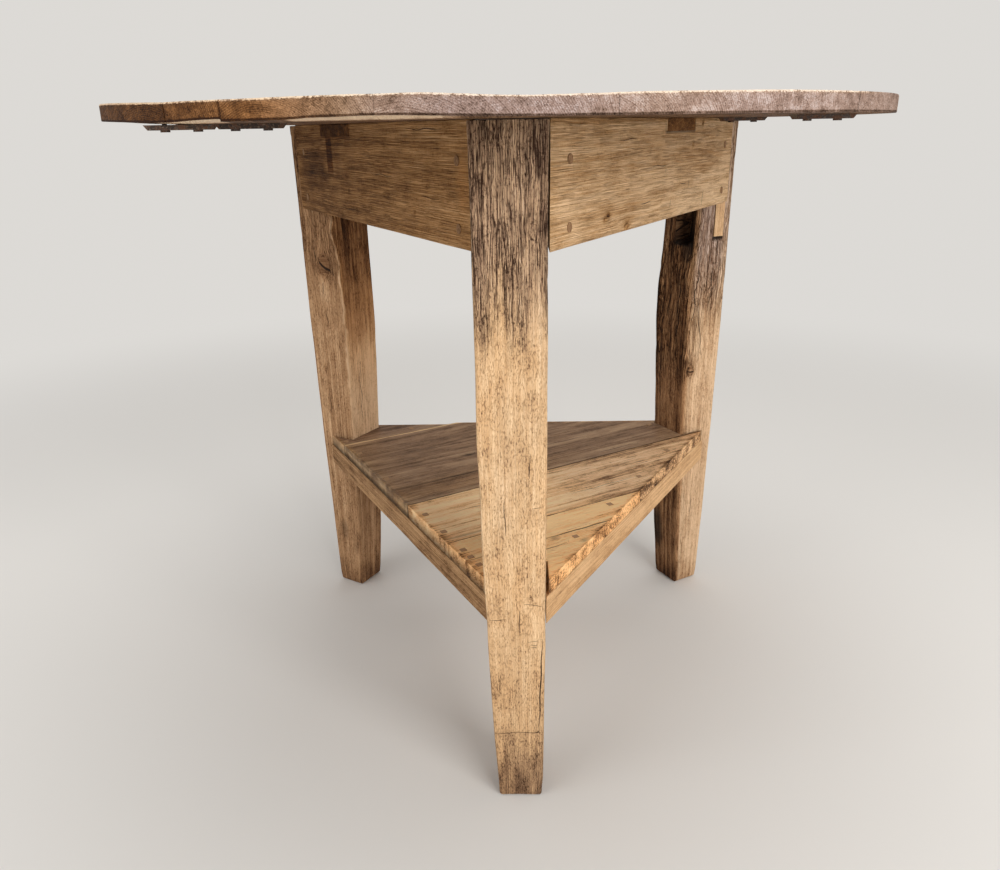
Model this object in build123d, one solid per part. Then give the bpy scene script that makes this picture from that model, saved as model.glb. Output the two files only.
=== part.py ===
from build123d import *

import os
from dataclasses import dataclass
from math import asin, cos, degrees, radians, sin, tan

# Three-legged cricket table: a round plank top on three square tapered legs, with deep
# aprons above and stretchers below that carry a triangular plank shelf.
# Millimetres, +Z up. The origin lies on the floor under the middle of the round top.
# +Y points away from the front leg, so the front leg stands towards -Y.

# Whole table
frame_height = 713.0
frame_offset = 17.0
top_overhang = 99.5
board_thickness = 16.5

# Legs, each square to the line from the frame's axis
leg_width = 69.0
leg_depth = 68.0
leg_foot_width = 49.0
leg_foot_depth = 45.0
leg_face_radius = 332.5
leg_splay = -2.5
leg_taper_height = 430.0
leg_arris = 2.5
foot_ease = 5.0
front_leg_lean = 4.3
back_leg_lean = 3.0

# Aprons, set back from the legs' faces
apron_setback = 11.0
apron_thickness = 25.0
apron_width = 108.0
apron_drop = 1.0

# Stretchers under the shelf
stretcher_setback = 18.5
back_stretcher_setback = 40.5
stretcher_thickness = 28.0
stretcher_width = 32.0
stretcher_bottom = 218.0

# Tenons and pegs
rail_bite = 10.0
tenon_thickness = 10.0
tenon_shoulder = 9.0
stretcher_tenon_shoulder = 4.0
apron_tenon_depth = 18.0
stretcher_tenon_depth = 15.0
tenon_fit = 0.2
peg_diameter = 9.0
peg_length = 42.0
peg_fit = 0.1
peg_proud = 0.4
peg_end_room = 0.5
peg_setback = 30.0
peg_from_top = 32.0
peg_from_bottom = 18.0

# Shelf
shelf_thickness = 18.0
rear_board_thickness = 15.5
shelf_gap = 0.6
shelf_leg_gap = 1.0

# Cleat let into the aprons under the top
cleat_width = 86.0
cleat_thickness = 14.0
cleat_skew = 5.2
cleat_forward = 29.0
cleat_fit = 0.2

# Round top
board_gap = 0.5
board_tip_rise = 6.3
rim_bevel = 3.0
rim_wear = 1.5

# Iron mending straps across the outer joints of the top
strap_length = 56.0
strap_width = 22.0
strap_thickness = 4.2
strap_bevel = 3.5
strap_screw_spacing = 28.0
screw_head_diameter = 8.0
screw_head_height = 1.6
screw_diameter = 4.0
screw_depth = 12.0
screw_fit = 0.1

# Square cut nails
nail_shank = 3.5
nail_head = 6.5
nail_head_height = 1.5
near_nail_inset = 9.0
far_nail_inset = 18.0
top_nail_depth = 25.0
shelf_nail_depth = 20.0
cleat_nail_depth = 12.0

# Old mortises left in the reclaimed right leg
filler_width = 16.0
filler_height = 45.6
filler_depth = 14.0
filler_setback = 13.0
filler_foot_gap = 4.0
filler_recess = 0.5
old_mortise_width = 34.0
old_mortise_height = 44.0
old_mortise_depth = 24.0
old_mortise_edge = 5.5

# How the taper runs down the leg: share of the taper height, share of the full taper
taper_shares = ((0.0, 1.0), (0.23, 0.65), (0.58, 0.32), (1.0, 0.0))
# Shelf joints, front positive, as shares of the way from the middle to the front leg's
# slot: at the left edge and at the far end of the joint
shelf_joint_shares = ((-0.91, -0.895), (0.20, 0.144), (0.73, 0.715), (0.945, 0.955))
# Nails across each shelf board, rear board first, as shares of the board's width: over
# the left stretcher and at the far end
near_nail_shares = ((0.85,), (0.18, 0.62), (0.30, 0.75), (0.47, 0.86), (0.12,))
far_nail_shares = ((0.85,), (0.30, 0.70), (0.22, 0.68), (0.25,), (0.12,))
# Joints of the top, left to right, as shares of its radius
top_joint_shares = (-0.609, -0.477, -0.188, 0.213, 0.706)
# Nails into the aprons and the cleat: the boards passed from the left, and the share of
# the next board's width
left_nail_shares = (1.75, 2.65, 2.90, 3.15)
right_nail_shares = (4.08, 4.25, 4.66, 4.80)
back_nail_shares = (2.30, 3.20, 3.80, 4.25, 4.55)
cleat_nail_shares = (2.50, 2.80, 3.28, 3.72, 4.08, 4.26)
# Straps: number of the joint from the left, and place along it as a share of the radius
strap_shares = ((0, -0.72), (0, 0.62), (1, -0.70), (1, 0.66), (4, -0.52), (4, 0.13))

# The frame is an equilateral triangle: the legs stand at its corners, and each side faces
# one corner angle on from a leg
corner_angle = 60.0
front_angle = 270.0
SLOPE = tan(radians(corner_angle))


@dataclass(frozen=True)
class Leg:
    """One leg: the way it faces and how far it leans to its own left or right."""

    node: str
    facing: float
    top_shift: float
    foot_shift: float


LEGS = (
    Leg("leg_front", front_angle, -front_leg_lean, 0.0),
    Leg("leg_left", front_angle - 2 * corner_angle, 0.0, -back_leg_lean),
    Leg("leg_right", front_angle + 2 * corner_angle, 0.0, back_leg_lean),
)
SIDE_FACING = {
    "left": front_angle - corner_angle,
    "right": front_angle + corner_angle,
    "back": front_angle + 3 * corner_angle,
}
sides = ("left", "right", "back")
top_radius = leg_face_radius + top_overhang
apron_top = frame_height - apron_drop
apron_bottom = apron_top - apron_width
stretcher_top = stretcher_bottom + stretcher_width


def place(facing):
    """Move a shape drawn around the frame's axis, facing +X, to its own facing."""
    return Pos(frame_offset, 0, 0) * Rot(0, 0, facing)


def between(pairs, at):
    """Read a value between the listed pairs."""
    for (low, start), (high, end) in zip(pairs, pairs[1:]):
        if at <= high:
            return start + (end - start) * (at - low) / (high - low)
    return pairs[-1][1]


def prism(points, bottom, top):
    """Make an upright prism over an outline given in plan."""
    outline = make_face(Polyline(*[(x, y, 0) for x, y in points], close=True))
    return Pos(0, 0, bottom) * extrude(outline, amount=top - bottom, dir=(0, 0, 1))


def block(x_range, y_range, z_range):
    """Make a box between two corners."""
    return Pos(x_range[0], y_range[0], z_range[0]) * Box(
        x_range[1] - x_range[0],
        y_range[1] - y_range[0],
        z_range[1] - z_range[0],
        align=(Align.MIN, Align.MIN, Align.MIN),
    )


# Legs
def leg_size(height):
    """Width, depth and face radius of a leg at a height."""
    taper = between(taper_shares, height / leg_taper_height)
    width = leg_width - taper * (leg_width - leg_foot_width)
    depth = leg_depth - taper * (leg_depth - leg_foot_depth)
    face = leg_face_radius + leg_splay * (1 - height / frame_height)
    return width, depth, face


def rail_distance(setback, height):
    """How far a rail's outer face lies from the axis, to meet the legs' sides."""
    width, _, face = leg_size(height)
    return (face - setback) * cos(radians(corner_angle)) + width / 2 * sin(radians(corner_angle))


apron_distance = rail_distance(apron_setback, apron_top)
stretcher_distance = rail_distance(stretcher_setback, stretcher_bottom)
back_stretcher_distance = rail_distance(back_stretcher_setback, stretcher_bottom)


def leg_shift(leg, height):
    """How far a leg stands off its own centre line at a height."""
    return leg.foot_shift + (leg.top_shift - leg.foot_shift) * height / frame_height


def leg_section(leg, height, inset=0.0):
    """Outline of a leg at a height, with its arrises eased, drawn facing +X."""
    width, depth, face = leg_size(height)
    shift = leg_shift(leg, height)
    low_x = face - depth + inset
    high_x = face - inset
    low_y = shift - width / 2 + inset
    high_y = shift + width / 2 - inset
    points = (
        (low_x + leg_arris, low_y),
        (high_x - leg_arris, low_y),
        (high_x, low_y + leg_arris),
        (high_x, high_y - leg_arris),
        (high_x - leg_arris, high_y),
        (low_x + leg_arris, high_y),
        (low_x, high_y - leg_arris),
        (low_x, low_y + leg_arris),
    )
    return make_face(Polyline(*[(x, y, height) for x, y in points], close=True))


def leg_blank(leg):
    """The leg before its mortises, facing +X."""
    sections = [leg_section(leg, 0.0, foot_ease / 2), leg_section(leg, foot_ease)]
    heights = [share * leg_taper_height for share, _ in taper_shares[1:]]
    sections += [leg_section(leg, height) for height in heights + [frame_height]]
    return loft(sections, ruled=True)


def leg_keepout(leg, bottom, top):
    """The leg and the room outside its face, which no rail or board may enter."""
    width, _, face = leg_size(bottom)
    shift = leg_shift(leg, bottom)
    outside = block(
        (face - leg_arris, face + leg_depth),
        (shift - width / 2, shift + width / 2),
        (bottom, top),
    )
    return place(leg.facing) * (leg_blank(leg) + outside)


# Rails: aprons and stretchers share one form
@dataclass(frozen=True)
class Rail:
    """A board between two legs, with bevelled ends and a bare-faced tenon at each."""

    facing: float
    distance: float
    thickness: float
    bottom: float
    top: float
    shoulder: float
    tenon_depth: float

    @property
    def leg_room(self):
        """Width of the legs where this rail meets them."""
        return leg_size(self.bottom)[0]

    @property
    def inner(self):
        """Distance of the inner face from the frame's axis."""
        return self.distance - self.thickness

    def reach(self, x, depth=0.0):
        """Half the rail's length at x, and on into the leg by a depth."""
        return SLOPE * x - self.leg_room + 2 * depth

    def strip(self, low, high, depth, bottom, top):
        """A prism between two distances that runs into both legs."""
        outline = (
            (high, self.reach(high, depth)),
            (high, -self.reach(high, depth)),
            (low, -self.reach(low, depth)),
            (low, self.reach(low, depth)),
        )
        return place(self.facing) * prism(outline, bottom, top)

    def body(self):
        """The rail up to the legs' sides, without tenons."""
        solid = self.strip(self.inner, self.distance, rail_bite, self.bottom, self.top)
        for leg in LEGS:
            solid -= leg_keepout(leg, self.bottom, self.top)
        return solid

    def tenons(self, fit=0.0):
        """The strip that makes both tenons, larger by the fit for the mortises."""
        return self.strip(
            self.inner - fit,
            self.inner + tenon_thickness + fit,
            self.tenon_depth + fit,
            self.bottom + self.shoulder - fit,
            self.top - self.shoulder + fit,
        )

    def under(self, x):
        """The spot on the rail's middle line that lies at x in the table's frame."""
        middle = self.distance - self.thickness / 2
        turn = radians(self.facing)
        along = (middle * cos(turn) - (x - frame_offset)) / sin(turn)
        return place(self.facing) * Pos(middle, along, 0)


def apron(side):
    """The apron on one side of the frame."""
    return Rail(
        SIDE_FACING[side],
        apron_distance,
        apron_thickness,
        apron_bottom,
        apron_top,
        tenon_shoulder,
        apron_tenon_depth,
    )


def stretcher(side):
    """The stretcher on one side of the frame."""
    distance = back_stretcher_distance if side == "back" else stretcher_distance
    return Rail(
        SIDE_FACING[side],
        distance,
        stretcher_thickness,
        stretcher_bottom,
        stretcher_top,
        stretcher_tenon_shoulder,
        stretcher_tenon_depth,
    )


# Pegs through the aprons into the legs
def apron_pegs(side, fit=0.0):
    """The four pegs of one apron, larger by the fit for their holes."""
    rail = apron(side)
    length = peg_length + (peg_end_room if fit else 0.0)
    peg = Rot(0, -90, 0) * Cylinder(
        peg_diameter / 2 + fit,
        length + peg_proud,
        align=(Align.CENTER, Align.CENTER, Align.MIN),
    )
    pegs = []
    for end in (-1, 1):
        for height in (apron_top - peg_from_top, apron_bottom + peg_from_bottom):
            y = end * (rail.reach(rail.distance) - peg_setback)
            pegs.append(place(rail.facing) * Pos(rail.distance + peg_proud, y, height) * peg)
    return pegs


# Cut nails, drawn pointing down from z = 0
def nail(depth_below_head):
    """A cut nail with a square head and shank."""
    head = Box(nail_head, nail_head, nail_head_height, align=(Align.CENTER, Align.CENTER, Align.MAX))
    shank = Box(
        nail_shank,
        nail_shank,
        depth_below_head,
        align=(Align.CENTER, Align.CENTER, Align.MAX),
    )
    return head + shank


# Cleat under the top, with its ends flush with both front aprons
def cleat_frame():
    """Where the cleat's own middle lies."""
    return Pos(frame_offset, -cleat_forward, 0) * Rot(0, 0, -cleat_skew)


def cleat_bar(fit=0.0):
    """The cleat's full bar, trimmed by the aprons' outer faces."""
    bar = cleat_frame() * Box(4 * apron_distance, cleat_width + 2 * fit, cleat_thickness)
    bar = Pos(0, 0, frame_height - cleat_thickness / 2) * bar
    corner = 2 * apron_distance
    turns = [radians(leg.facing) for leg in LEGS]
    outline = [(corner * cos(turn), corner * sin(turn)) for turn in turns]
    room = Pos(frame_offset, 0, 0) * prism(outline, apron_bottom, frame_height)
    return bar & room


def cleat_nails():
    """Nails from below the cleat into the boards above it."""
    tip = nail(cleat_thickness + cleat_nail_depth)
    nails = []
    for index, count in enumerate(cleat_nail_shares):
        side = cleat_width / 4 * (1 if index % 2 else -1)
        along = (board_spot(count) - frame_offset) / cos(radians(cleat_skew))
        spot = cleat_frame() * Pos(along, side, frame_height - cleat_thickness)
        nails.append(spot * Rot(180, 0, 0) * tip)
    return nails


# Round top of six boards that run from front to back
top_joints = [share * top_radius for share in top_joint_shares]
board_edges = [-top_radius] + top_joints + [top_radius]


def board_spot(count):
    """The x reached after so many boards from the left, the last one in part."""
    board = int(count)
    return board_edges[board] + (count - board) * (board_edges[board + 1] - board_edges[board])


def top_disc():
    """The round top as one disc, bevelled below and worn along its upper arris."""
    side = make_face(
        Polyline(
            (0, 0, 0),
            (top_radius - rim_bevel, 0, 0),
            (top_radius, 0, rim_bevel),
            (top_radius, 0, board_thickness - rim_wear),
            (top_radius - rim_wear, 0, board_thickness),
            (0, 0, board_thickness),
            close=True,
        )
    )
    return Pos(0, 0, frame_height) * revolve(side, Axis.Z)


def top_board(index):
    """One board of the top. The left one has sprung up at its free edge."""
    low = board_edges[index] + (board_gap / 2 if index else 0.0)
    last = index == len(board_edges) - 2
    high = board_edges[index + 1] - (0.0 if last else board_gap / 2)
    top = frame_height + board_thickness
    board = block((low, high), (-top_radius, top_radius), (frame_height, top)) & top_disc()
    if index:
        return board
    tilt = degrees(asin(board_tip_rise / (high - low)))
    return Pos(high, 0, top) * Rot(0, tilt, 0) * Pos(-high, 0, -top) * board


def top_nails():
    """Nails through the top into the aprons' upper edges."""
    nails = []
    for side, counts in zip(sides, (left_nail_shares, right_nail_shares, back_nail_shares)):
        for count in counts:
            spot = apron(side).under(board_spot(count))
            head = spot * Pos(0, 0, frame_height + board_thickness)
            nails.append(head * nail(board_thickness + top_nail_depth))
    return nails


# Mending straps and their screws
def strap_spots():
    """The middle of each strap on the underside of the top."""
    return [Pos(top_joints[joint], share * top_radius, frame_height) for joint, share in strap_shares]


def strap():
    """A flat iron strap with bevelled ends, hanging from z = 0, bored for two screws."""
    half = strap_length / 2
    side = make_face(
        Polyline(
            (-half, 0, 0),
            (half, 0, 0),
            (half - strap_bevel, 0, -strap_thickness),
            (-half + strap_bevel, 0, -strap_thickness),
            close=True,
        )
    )
    solid = Pos(0, -strap_width / 2, 0) * extrude(side, amount=strap_width, dir=(0, 1, 0))
    for end in (-1, 1):
        solid -= Pos(end * strap_screw_spacing / 2, 0, 0) * Cylinder(
            screw_diameter / 2 + screw_fit, 4 * strap_thickness
        )
    return solid


def screw(fit=0.0):
    """A screw with its head under the strap, drawn from the underside of the top."""
    head = Pos(0, 0, -strap_thickness) * Cylinder(
        screw_head_diameter / 2,
        screw_head_height,
        align=(Align.CENTER, Align.CENTER, Align.MAX),
    )
    shank = Pos(0, 0, -strap_thickness) * Cylinder(
        screw_diameter / 2 + fit,
        strap_thickness + screw_depth + fit,
        align=(Align.CENTER, Align.CENTER, Align.MIN),
    )
    return shank if fit else head + shank


def strap_screws(fit=0.0):
    """Both screws of every strap."""
    screws = []
    for spot in strap_spots():
        for end in (-1, 1):
            screws.append(spot * Pos(end * strap_screw_spacing / 2, 0, 0) * screw(fit))
    return screws


# Triangular shelf of five boards that run square to the left stretcher
half_side = SLOPE * stretcher_distance
left_side = SIDE_FACING["left"]
slot_width, slot_depth, slot_face = leg_size(stretcher_top)
slot_reach = (slot_face - slot_depth - shelf_leg_gap) * cos(radians(corner_angle / 2))
slot_reach -= (slot_width / 2 + shelf_leg_gap) * sin(radians(corner_angle / 2))


def shelf_joint(index):
    """A joint's two ends, front positive, at the left edge and at its far end."""
    if index < 0:
        return -half_side, -half_side
    if index >= len(shelf_joint_shares):
        return half_side, half_side
    near, far = shelf_joint_shares[index]
    return near * slot_reach, far * slot_reach


def shelf_outline():
    """The shelf in plan as a triangle, a little short of a point at the back."""
    corner = 2 * stretcher_distance
    front = (0.0, -corner)
    half_back = (corner + back_stretcher_distance) / SLOPE
    return (front, (half_back, back_stretcher_distance), (-half_back, back_stretcher_distance))


def shelf_room(bottom, top):
    """The whole shelf with slots for the three legs."""
    room = Pos(frame_offset, 0, 0) * prism(shelf_outline(), bottom, top)
    for leg in LEGS:
        width, depth, face = leg_size(bottom)
        room -= place(leg.facing) * block(
            (face - depth - shelf_leg_gap, face + leg_depth),
            (-width / 2 - shelf_leg_gap, width / 2 + shelf_leg_gap),
            (bottom, top),
        )
        room -= place(leg.facing) * leg_blank(leg)
    return room


def shelf_board(index):
    """One shelf board between its joints."""
    near_low, far_low = shelf_joint(index - 1)
    near_high, far_high = shelf_joint(index)
    far = stretcher_distance - 2 * half_side
    gap = shelf_gap / 2
    outline = (
        (stretcher_distance, near_low + gap),
        (far, far_low + gap),
        (far, far_high - gap),
        (stretcher_distance, near_high - gap),
    )
    thickness = rear_board_thickness if index == 0 else shelf_thickness
    bar = place(left_side) * prism(outline, stretcher_top, stretcher_top + thickness)
    return bar & shelf_room(stretcher_top, stretcher_top + thickness)


def shelf_nail_spots(index):
    """Where a shelf board is nailed: over the left stretcher and at its far end."""
    low = shelf_joint(index - 1)[0]
    width = shelf_joint(index)[0] - low
    thickness = rear_board_thickness if index == 0 else shelf_thickness
    near_x = stretcher_distance - near_nail_inset
    side_line = stretcher_distance - far_nail_inset
    back_line = back_stretcher_distance - far_nail_inset
    places = [(near_x, low + share * width) for share in near_nail_shares[index]]
    for share in far_nail_shares[index]:
        y = low + share * width
        places.append((max(SLOPE * y - 2 * side_line, -SLOPE * y - 2 * back_line), y))
    top = stretcher_top + thickness
    return [place(left_side) * Pos(x, y, top) for x, y in places], thickness


# Old mortises of the reclaimed right leg
def old_mortises():
    """The pocket under the filler and the open mortise on the inner face."""
    width, depth, face = leg_size(apron_bottom)
    side = -width / 2
    outer = face - filler_setback
    pocket = block(
        (outer - filler_width, outer),
        (side - leg_arris, side + filler_depth),
        (apron_bottom - filler_height - filler_foot_gap, apron_bottom),
    )
    inner = face - depth
    hollow = block(
        (inner - leg_arris, inner + old_mortise_depth),
        (side + old_mortise_edge, side + old_mortise_edge + old_mortise_width),
        (apron_bottom - old_mortise_height - filler_foot_gap, apron_bottom),
    )
    return pocket, hollow


def mortise_filler():
    """The strip of new wood let into the pocket beside the right apron."""
    width, _, face = leg_size(apron_bottom)
    side = -width / 2
    outer = face - filler_setback
    return block(
        (outer - filler_width, outer),
        (side + filler_recess, side + filler_depth),
        (apron_bottom - filler_height, apron_bottom),
    )


# Build every piece
pegs = [peg for side in sides for peg in apron_pegs(side)]
peg_holes = {side: apron_pegs(side, peg_fit) for side in sides}
nails_in_top = top_nails()
nails_in_cleat = cleat_nails()
screws = strap_screws()
screw_holes = strap_screws(screw_fit)
cleat = cleat_bar()
cleat_notch = cleat_bar(cleat_fit)

shelf_nails = []
for board in range(len(near_nail_shares)):
    spots, thickness = shelf_nail_spots(board)
    shelf_nails += [spot * nail(thickness + shelf_nail_depth) for spot in spots]

nodes = {}
for leg in LEGS:
    solid = place(leg.facing) * leg_blank(leg)
    for side in sides:
        solid -= apron(side).tenons(tenon_fit)
        solid -= stretcher(side).tenons(tenon_fit)
        solid -= peg_holes[side]
    if leg.node == "leg_right":
        solid -= [place(leg.facing) * cut for cut in old_mortises()]
    nodes[leg.node] = solid

for side in sides:
    solid = apron(side).body() + apron(side).tenons()
    solid -= peg_holes[side]
    solid -= cleat_notch
    solid -= nails_in_top
    nodes[f"apron_{side}"] = solid
    solid = stretcher(side).body() + stretcher(side).tenons()
    solid -= shelf_nails
    nodes[f"stretcher_{side}"] = solid

for index in range(len(near_nail_shares)):
    nodes[f"shelf_board_{index + 1}"] = shelf_board(index) - shelf_nails

for index in range(len(board_edges) - 1):
    board = top_board(index) - nails_in_top - nails_in_cleat - screw_holes
    nodes[f"top_board_{index + 1}"] = board

nodes["top_cleat"] = cleat - nails_in_cleat
nodes["mending_strap"] = Compound([spot * strap() for spot in strap_spots()])
nodes["strap_screw"] = Compound(screws)
nodes["apron_peg"] = Compound(pegs)
nodes["top_nail"] = Compound(nails_in_top)
nodes["cleat_nail"] = Compound(nails_in_cleat)
nodes["shelf_nail"] = Compound(shelf_nails)
nodes["mortise_filler"] = place(LEGS[2].facing) * mortise_filler()

os.makedirs("parts", exist_ok=True)
for node, shape in nodes.items():
    export_step(shape, f"parts/{node}.step")
    print(node, len(shape.solids()), round(shape.volume / 1000.0, 1), "cm3")
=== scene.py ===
"""Looks of a three-legged cricket table: worn plank top, weathered legs, pegged aprons, plank shelf."""

import logging
import math
from dataclasses import dataclass, field
from enum import Enum
from typing import Optional, Sequence, Union

import bmesh
import bpy
import numpy as np
from mathutils import Matrix, Vector


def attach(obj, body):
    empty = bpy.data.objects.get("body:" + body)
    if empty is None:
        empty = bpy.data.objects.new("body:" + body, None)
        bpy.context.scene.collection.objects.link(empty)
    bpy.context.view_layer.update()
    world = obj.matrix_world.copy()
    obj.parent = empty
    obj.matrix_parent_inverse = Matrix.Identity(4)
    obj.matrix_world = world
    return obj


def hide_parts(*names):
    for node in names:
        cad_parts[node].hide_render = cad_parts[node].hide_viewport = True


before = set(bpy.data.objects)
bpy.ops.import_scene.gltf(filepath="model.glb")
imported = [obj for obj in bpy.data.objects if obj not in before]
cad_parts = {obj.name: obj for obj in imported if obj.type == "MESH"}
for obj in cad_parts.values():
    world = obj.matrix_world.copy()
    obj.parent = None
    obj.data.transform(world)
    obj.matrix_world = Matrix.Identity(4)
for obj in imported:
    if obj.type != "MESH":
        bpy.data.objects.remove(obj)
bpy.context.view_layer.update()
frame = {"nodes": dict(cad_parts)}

log = logging.getLogger("cricket_table")
MM = 0.001
LEFT_SIDE, RIGHT_SIDE, BACK_SIDE = 210.0, 330.0, 90.0
# Tints on each mesh; the soot tint carries dirt and dark joints, and painted shade in the right leg's
# hollows.
TINTS = ("tone", "warm", "soot", "weather", "edge")
CELL_MIX = np.array([374761393, 668265263, 2246822519], np.uint32)
SEED_MIX, SEED_START = 3266489, 97
FIRST_MIX, LAST_MIX = np.uint32(1274126177), np.uint32(2654435761)
HALF_RANGE = 2147483647.5

Array = np.ndarray
Socket = bpy.types.NodeSocket
Piece = bpy.types.Object
Point = tuple[float, float, float]
Colour = tuple[float, float, float]
Value = Union[float, Socket]
Tints = dict[str, Array]


# Seeded noise for moving and tinting mesh points
def lattice(cell: Array, seed: int) -> Array:
    """Give every lattice cell a fixed random value.

    Args:
        cell: Whole-number cells, shape (n, 3).
        seed: Which noise field to read.

    Returns:
        Values from -1 to 1, shape (n,).
    """
    turned = cell.astype(np.int64).astype(np.uint32) * CELL_MIX
    mixed = turned[:, 0] + turned[:, 1] + turned[:, 2] + np.uint32(seed * SEED_MIX + SEED_START)
    mixed = (mixed ^ (mixed >> np.uint32(13))) * FIRST_MIX
    mixed = (mixed ^ (mixed >> np.uint32(16))) * LAST_MIX
    mixed = mixed ^ (mixed >> np.uint32(15))
    return mixed.astype(np.float64) / HALF_RANGE - 1.0


def smooth(part: Array) -> Array:
    """Turn an even rise from 0 to 1 into one with soft ends."""
    return part * part * (3.0 - 2.0 * part)


def ripple(points: Array, sizes: Sequence[float], seed: int, layers: int = 1) -> Array:
    """Read smooth noise at points.

    Args:
        points: Places in millimetres, shape (n, 3).
        sizes: Size of one bump along each axis, in millimetres.
        seed: Which noise field to read.
        layers: How many finer layers are added.

    Returns:
        Values of about -1 to 1, shape (n,).
    """
    total = np.zeros(len(points))
    weight, reach = 1.0, 0.0
    place = points / np.asarray(sizes, float)
    for layer in range(layers):
        cell = np.floor(place)
        part = smooth(place - cell)
        value = np.zeros(len(points))
        for corner in range(8):
            step = np.array([corner & 1, (corner >> 1) & 1, corner >> 2])
            share = np.prod(np.where(step, part, 1.0 - part), axis=1)
            value += share * lattice(cell + step, seed + 31 * layer)
        total += weight * value
        reach += weight
        weight *= 0.55
        place = place * 2.03 + 7.7
    return total / reach


def fade(value: Array, low: float, high: float) -> Array:
    """Rise smoothly from 0 at low to 1 at high; low may be the larger."""
    return smooth(np.clip((value - low) / (high - low), 0.0, 1.0))


def band(value: Array, middle: float, low: float, high: float) -> Array:
    """Give a soft band: 0 from low on either side of its middle, and 1 within high."""
    return fade(np.abs(value - middle), low, high)


def patch(a: Array, b: Array, centre: Sequence[float], size: Sequence[float]) -> Array:
    """Give a soft oval patch: 1 at its centre and 0 beyond its size."""
    away = np.sqrt(((a - centre[0]) / size[0]) ** 2 + ((b - centre[1]) / size[1]) ** 2)
    return fade(away, 1.0, 0.35)


def read_rows(rows: Sequence[Sequence[float]], value: Array, column: int = 1) -> Array:
    """Read a table's column at each value of its first column, with straight lines between."""
    table = np.array(rows)
    return np.interp(value, table[:, 0], table[:, column])


@dataclass(frozen=True)
class Knot:
    """A knot on one face: its place across and along the grain, its radius and its crack."""

    across: float
    along: float
    radius: float
    dark: float = 0.5
    crack: float = 0.0
    lean: float = 0.5

    def away(self, across: Array, along: Array) -> Array:
        """Distance from the knot's middle; a knot is longer along the grain."""
        return np.hypot(across - self.across, (along - self.along) * 0.8)

    def bent(self, across: Array, along: Array) -> Array:
        """Lead the grain around the knot.

        Args:
            across: Place across the grain.
            along: Place along it.

        Returns:
            Where the grain that passes there would lie without the knot.
        """
        away = np.maximum(self.away(across, along), self.radius * 0.55)
        return self.across + (across - self.across) * (1.0 - (self.radius * 0.55 / away) ** 2)

    def tone(self, across: Array, along: Array) -> Array:
        """Rings of the knot, and the darker wood around it.

        Args:
            across: Place across the grain.
            along: Place along it.

        Returns:
            What it adds to the tone.
        """
        away = self.away(across, along)
        rings = 0.5 + 0.5 * np.cos(away / self.radius * 19.0)
        inside = fade(away, self.radius * 1.05, self.radius * 0.6)
        around = 0.35 * fade(away, self.radius * 2.2, self.radius)
        return -self.dark * (inside * (0.55 + 0.45 * rings) + around)

    def split(self, across: Array, along: Array, face: Array) -> Array:
        """The crack across the knot, as a Crack reads it.

        Args:
            across: Place across the grain.
            along: Place along it.
            face: 1 for the points of its face, else 0.

        Returns:
            Distance to the middle of the crack in metres, how open it is, and its half width in metres.
        """
        reach = self.radius * 0.8
        low, high = self.across - reach, self.across + reach
        line = Crack(self.along, low, high, self.crack, -self.lean, self.radius * 0.17)
        return line.read(along, across, face * (self.crack > 0.0))


@dataclass(frozen=True)
class Crack:
    """A crack, cut or scribed line on one face, with its width in millimetres."""

    across: float
    low: float
    high: float
    width: float = 0.6
    lean: float = 0.0
    sway: float = 0.7
    depth: float = 1.0

    def read(self, across: Array, along: Array, face: Array) -> Array:
        """Describe the crack at each point, so that the finish can draw it sharply.

        Args:
            across: Place across the crack.
            along: Place along it.
            face: 1 for the points of its face, else 0.

        Returns:
            Distance to the middle of the crack in metres, how open it is, and its half width in metres.
        """
        middle, half = (self.low + self.high) / 2, (self.high - self.low) / 2
        away = across - self.across - self.lean * (along - middle)
        away = away - self.sway * np.sin(along / 7.0 + self.across)
        share = np.abs(along - middle) / half
        opened = fade(np.abs(away), 7.0, 4.0) * fade(share, 1.08, 0.98) * face * self.depth
        width = self.width * np.clip(1.15 - share**2, 0.2, 1.0)
        return np.stack([away * MM, opened, width * MM], axis=1)


NO_CRACK = (0.009, 0.0, 0.0002)


def joined(count: int, cracks: Sequence[Array]) -> Array:
    """Keep the most open crack at each point.

    Args:
        count: How many points there are.
        cracks: What each crack reads.

    Returns:
        Distance, openness and half width at each point, shape (n, 3).
    """
    best = np.tile(NO_CRACK, (count, 1))
    for crack in cracks:
        best = np.where((crack[:, 1] > best[:, 1])[:, None], crack, best)
    return best


# Meshes of timber
def cuts(low: float, high: float, step: float, arris: float) -> Array:
    """Place grid lines along one edge of a block, closer together at its arrises.

    Args:
        low: Where the edge starts, in millimetres.
        high: Where it ends.
        step: Spacing of the lines.
        arris: Width of the eased arris at each end.

    Returns:
        The places of the lines, rising.
    """
    near = arris * np.array([0.0, 0.3, 0.62, 1.0])
    count = max(2, int(round((high - low - 2 * arris) / step)) + 1)
    middle = np.linspace(low + arris, high - arris, count)
    return np.concatenate([low + near[:-1], middle, high - near[:-1][::-1]])


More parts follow.
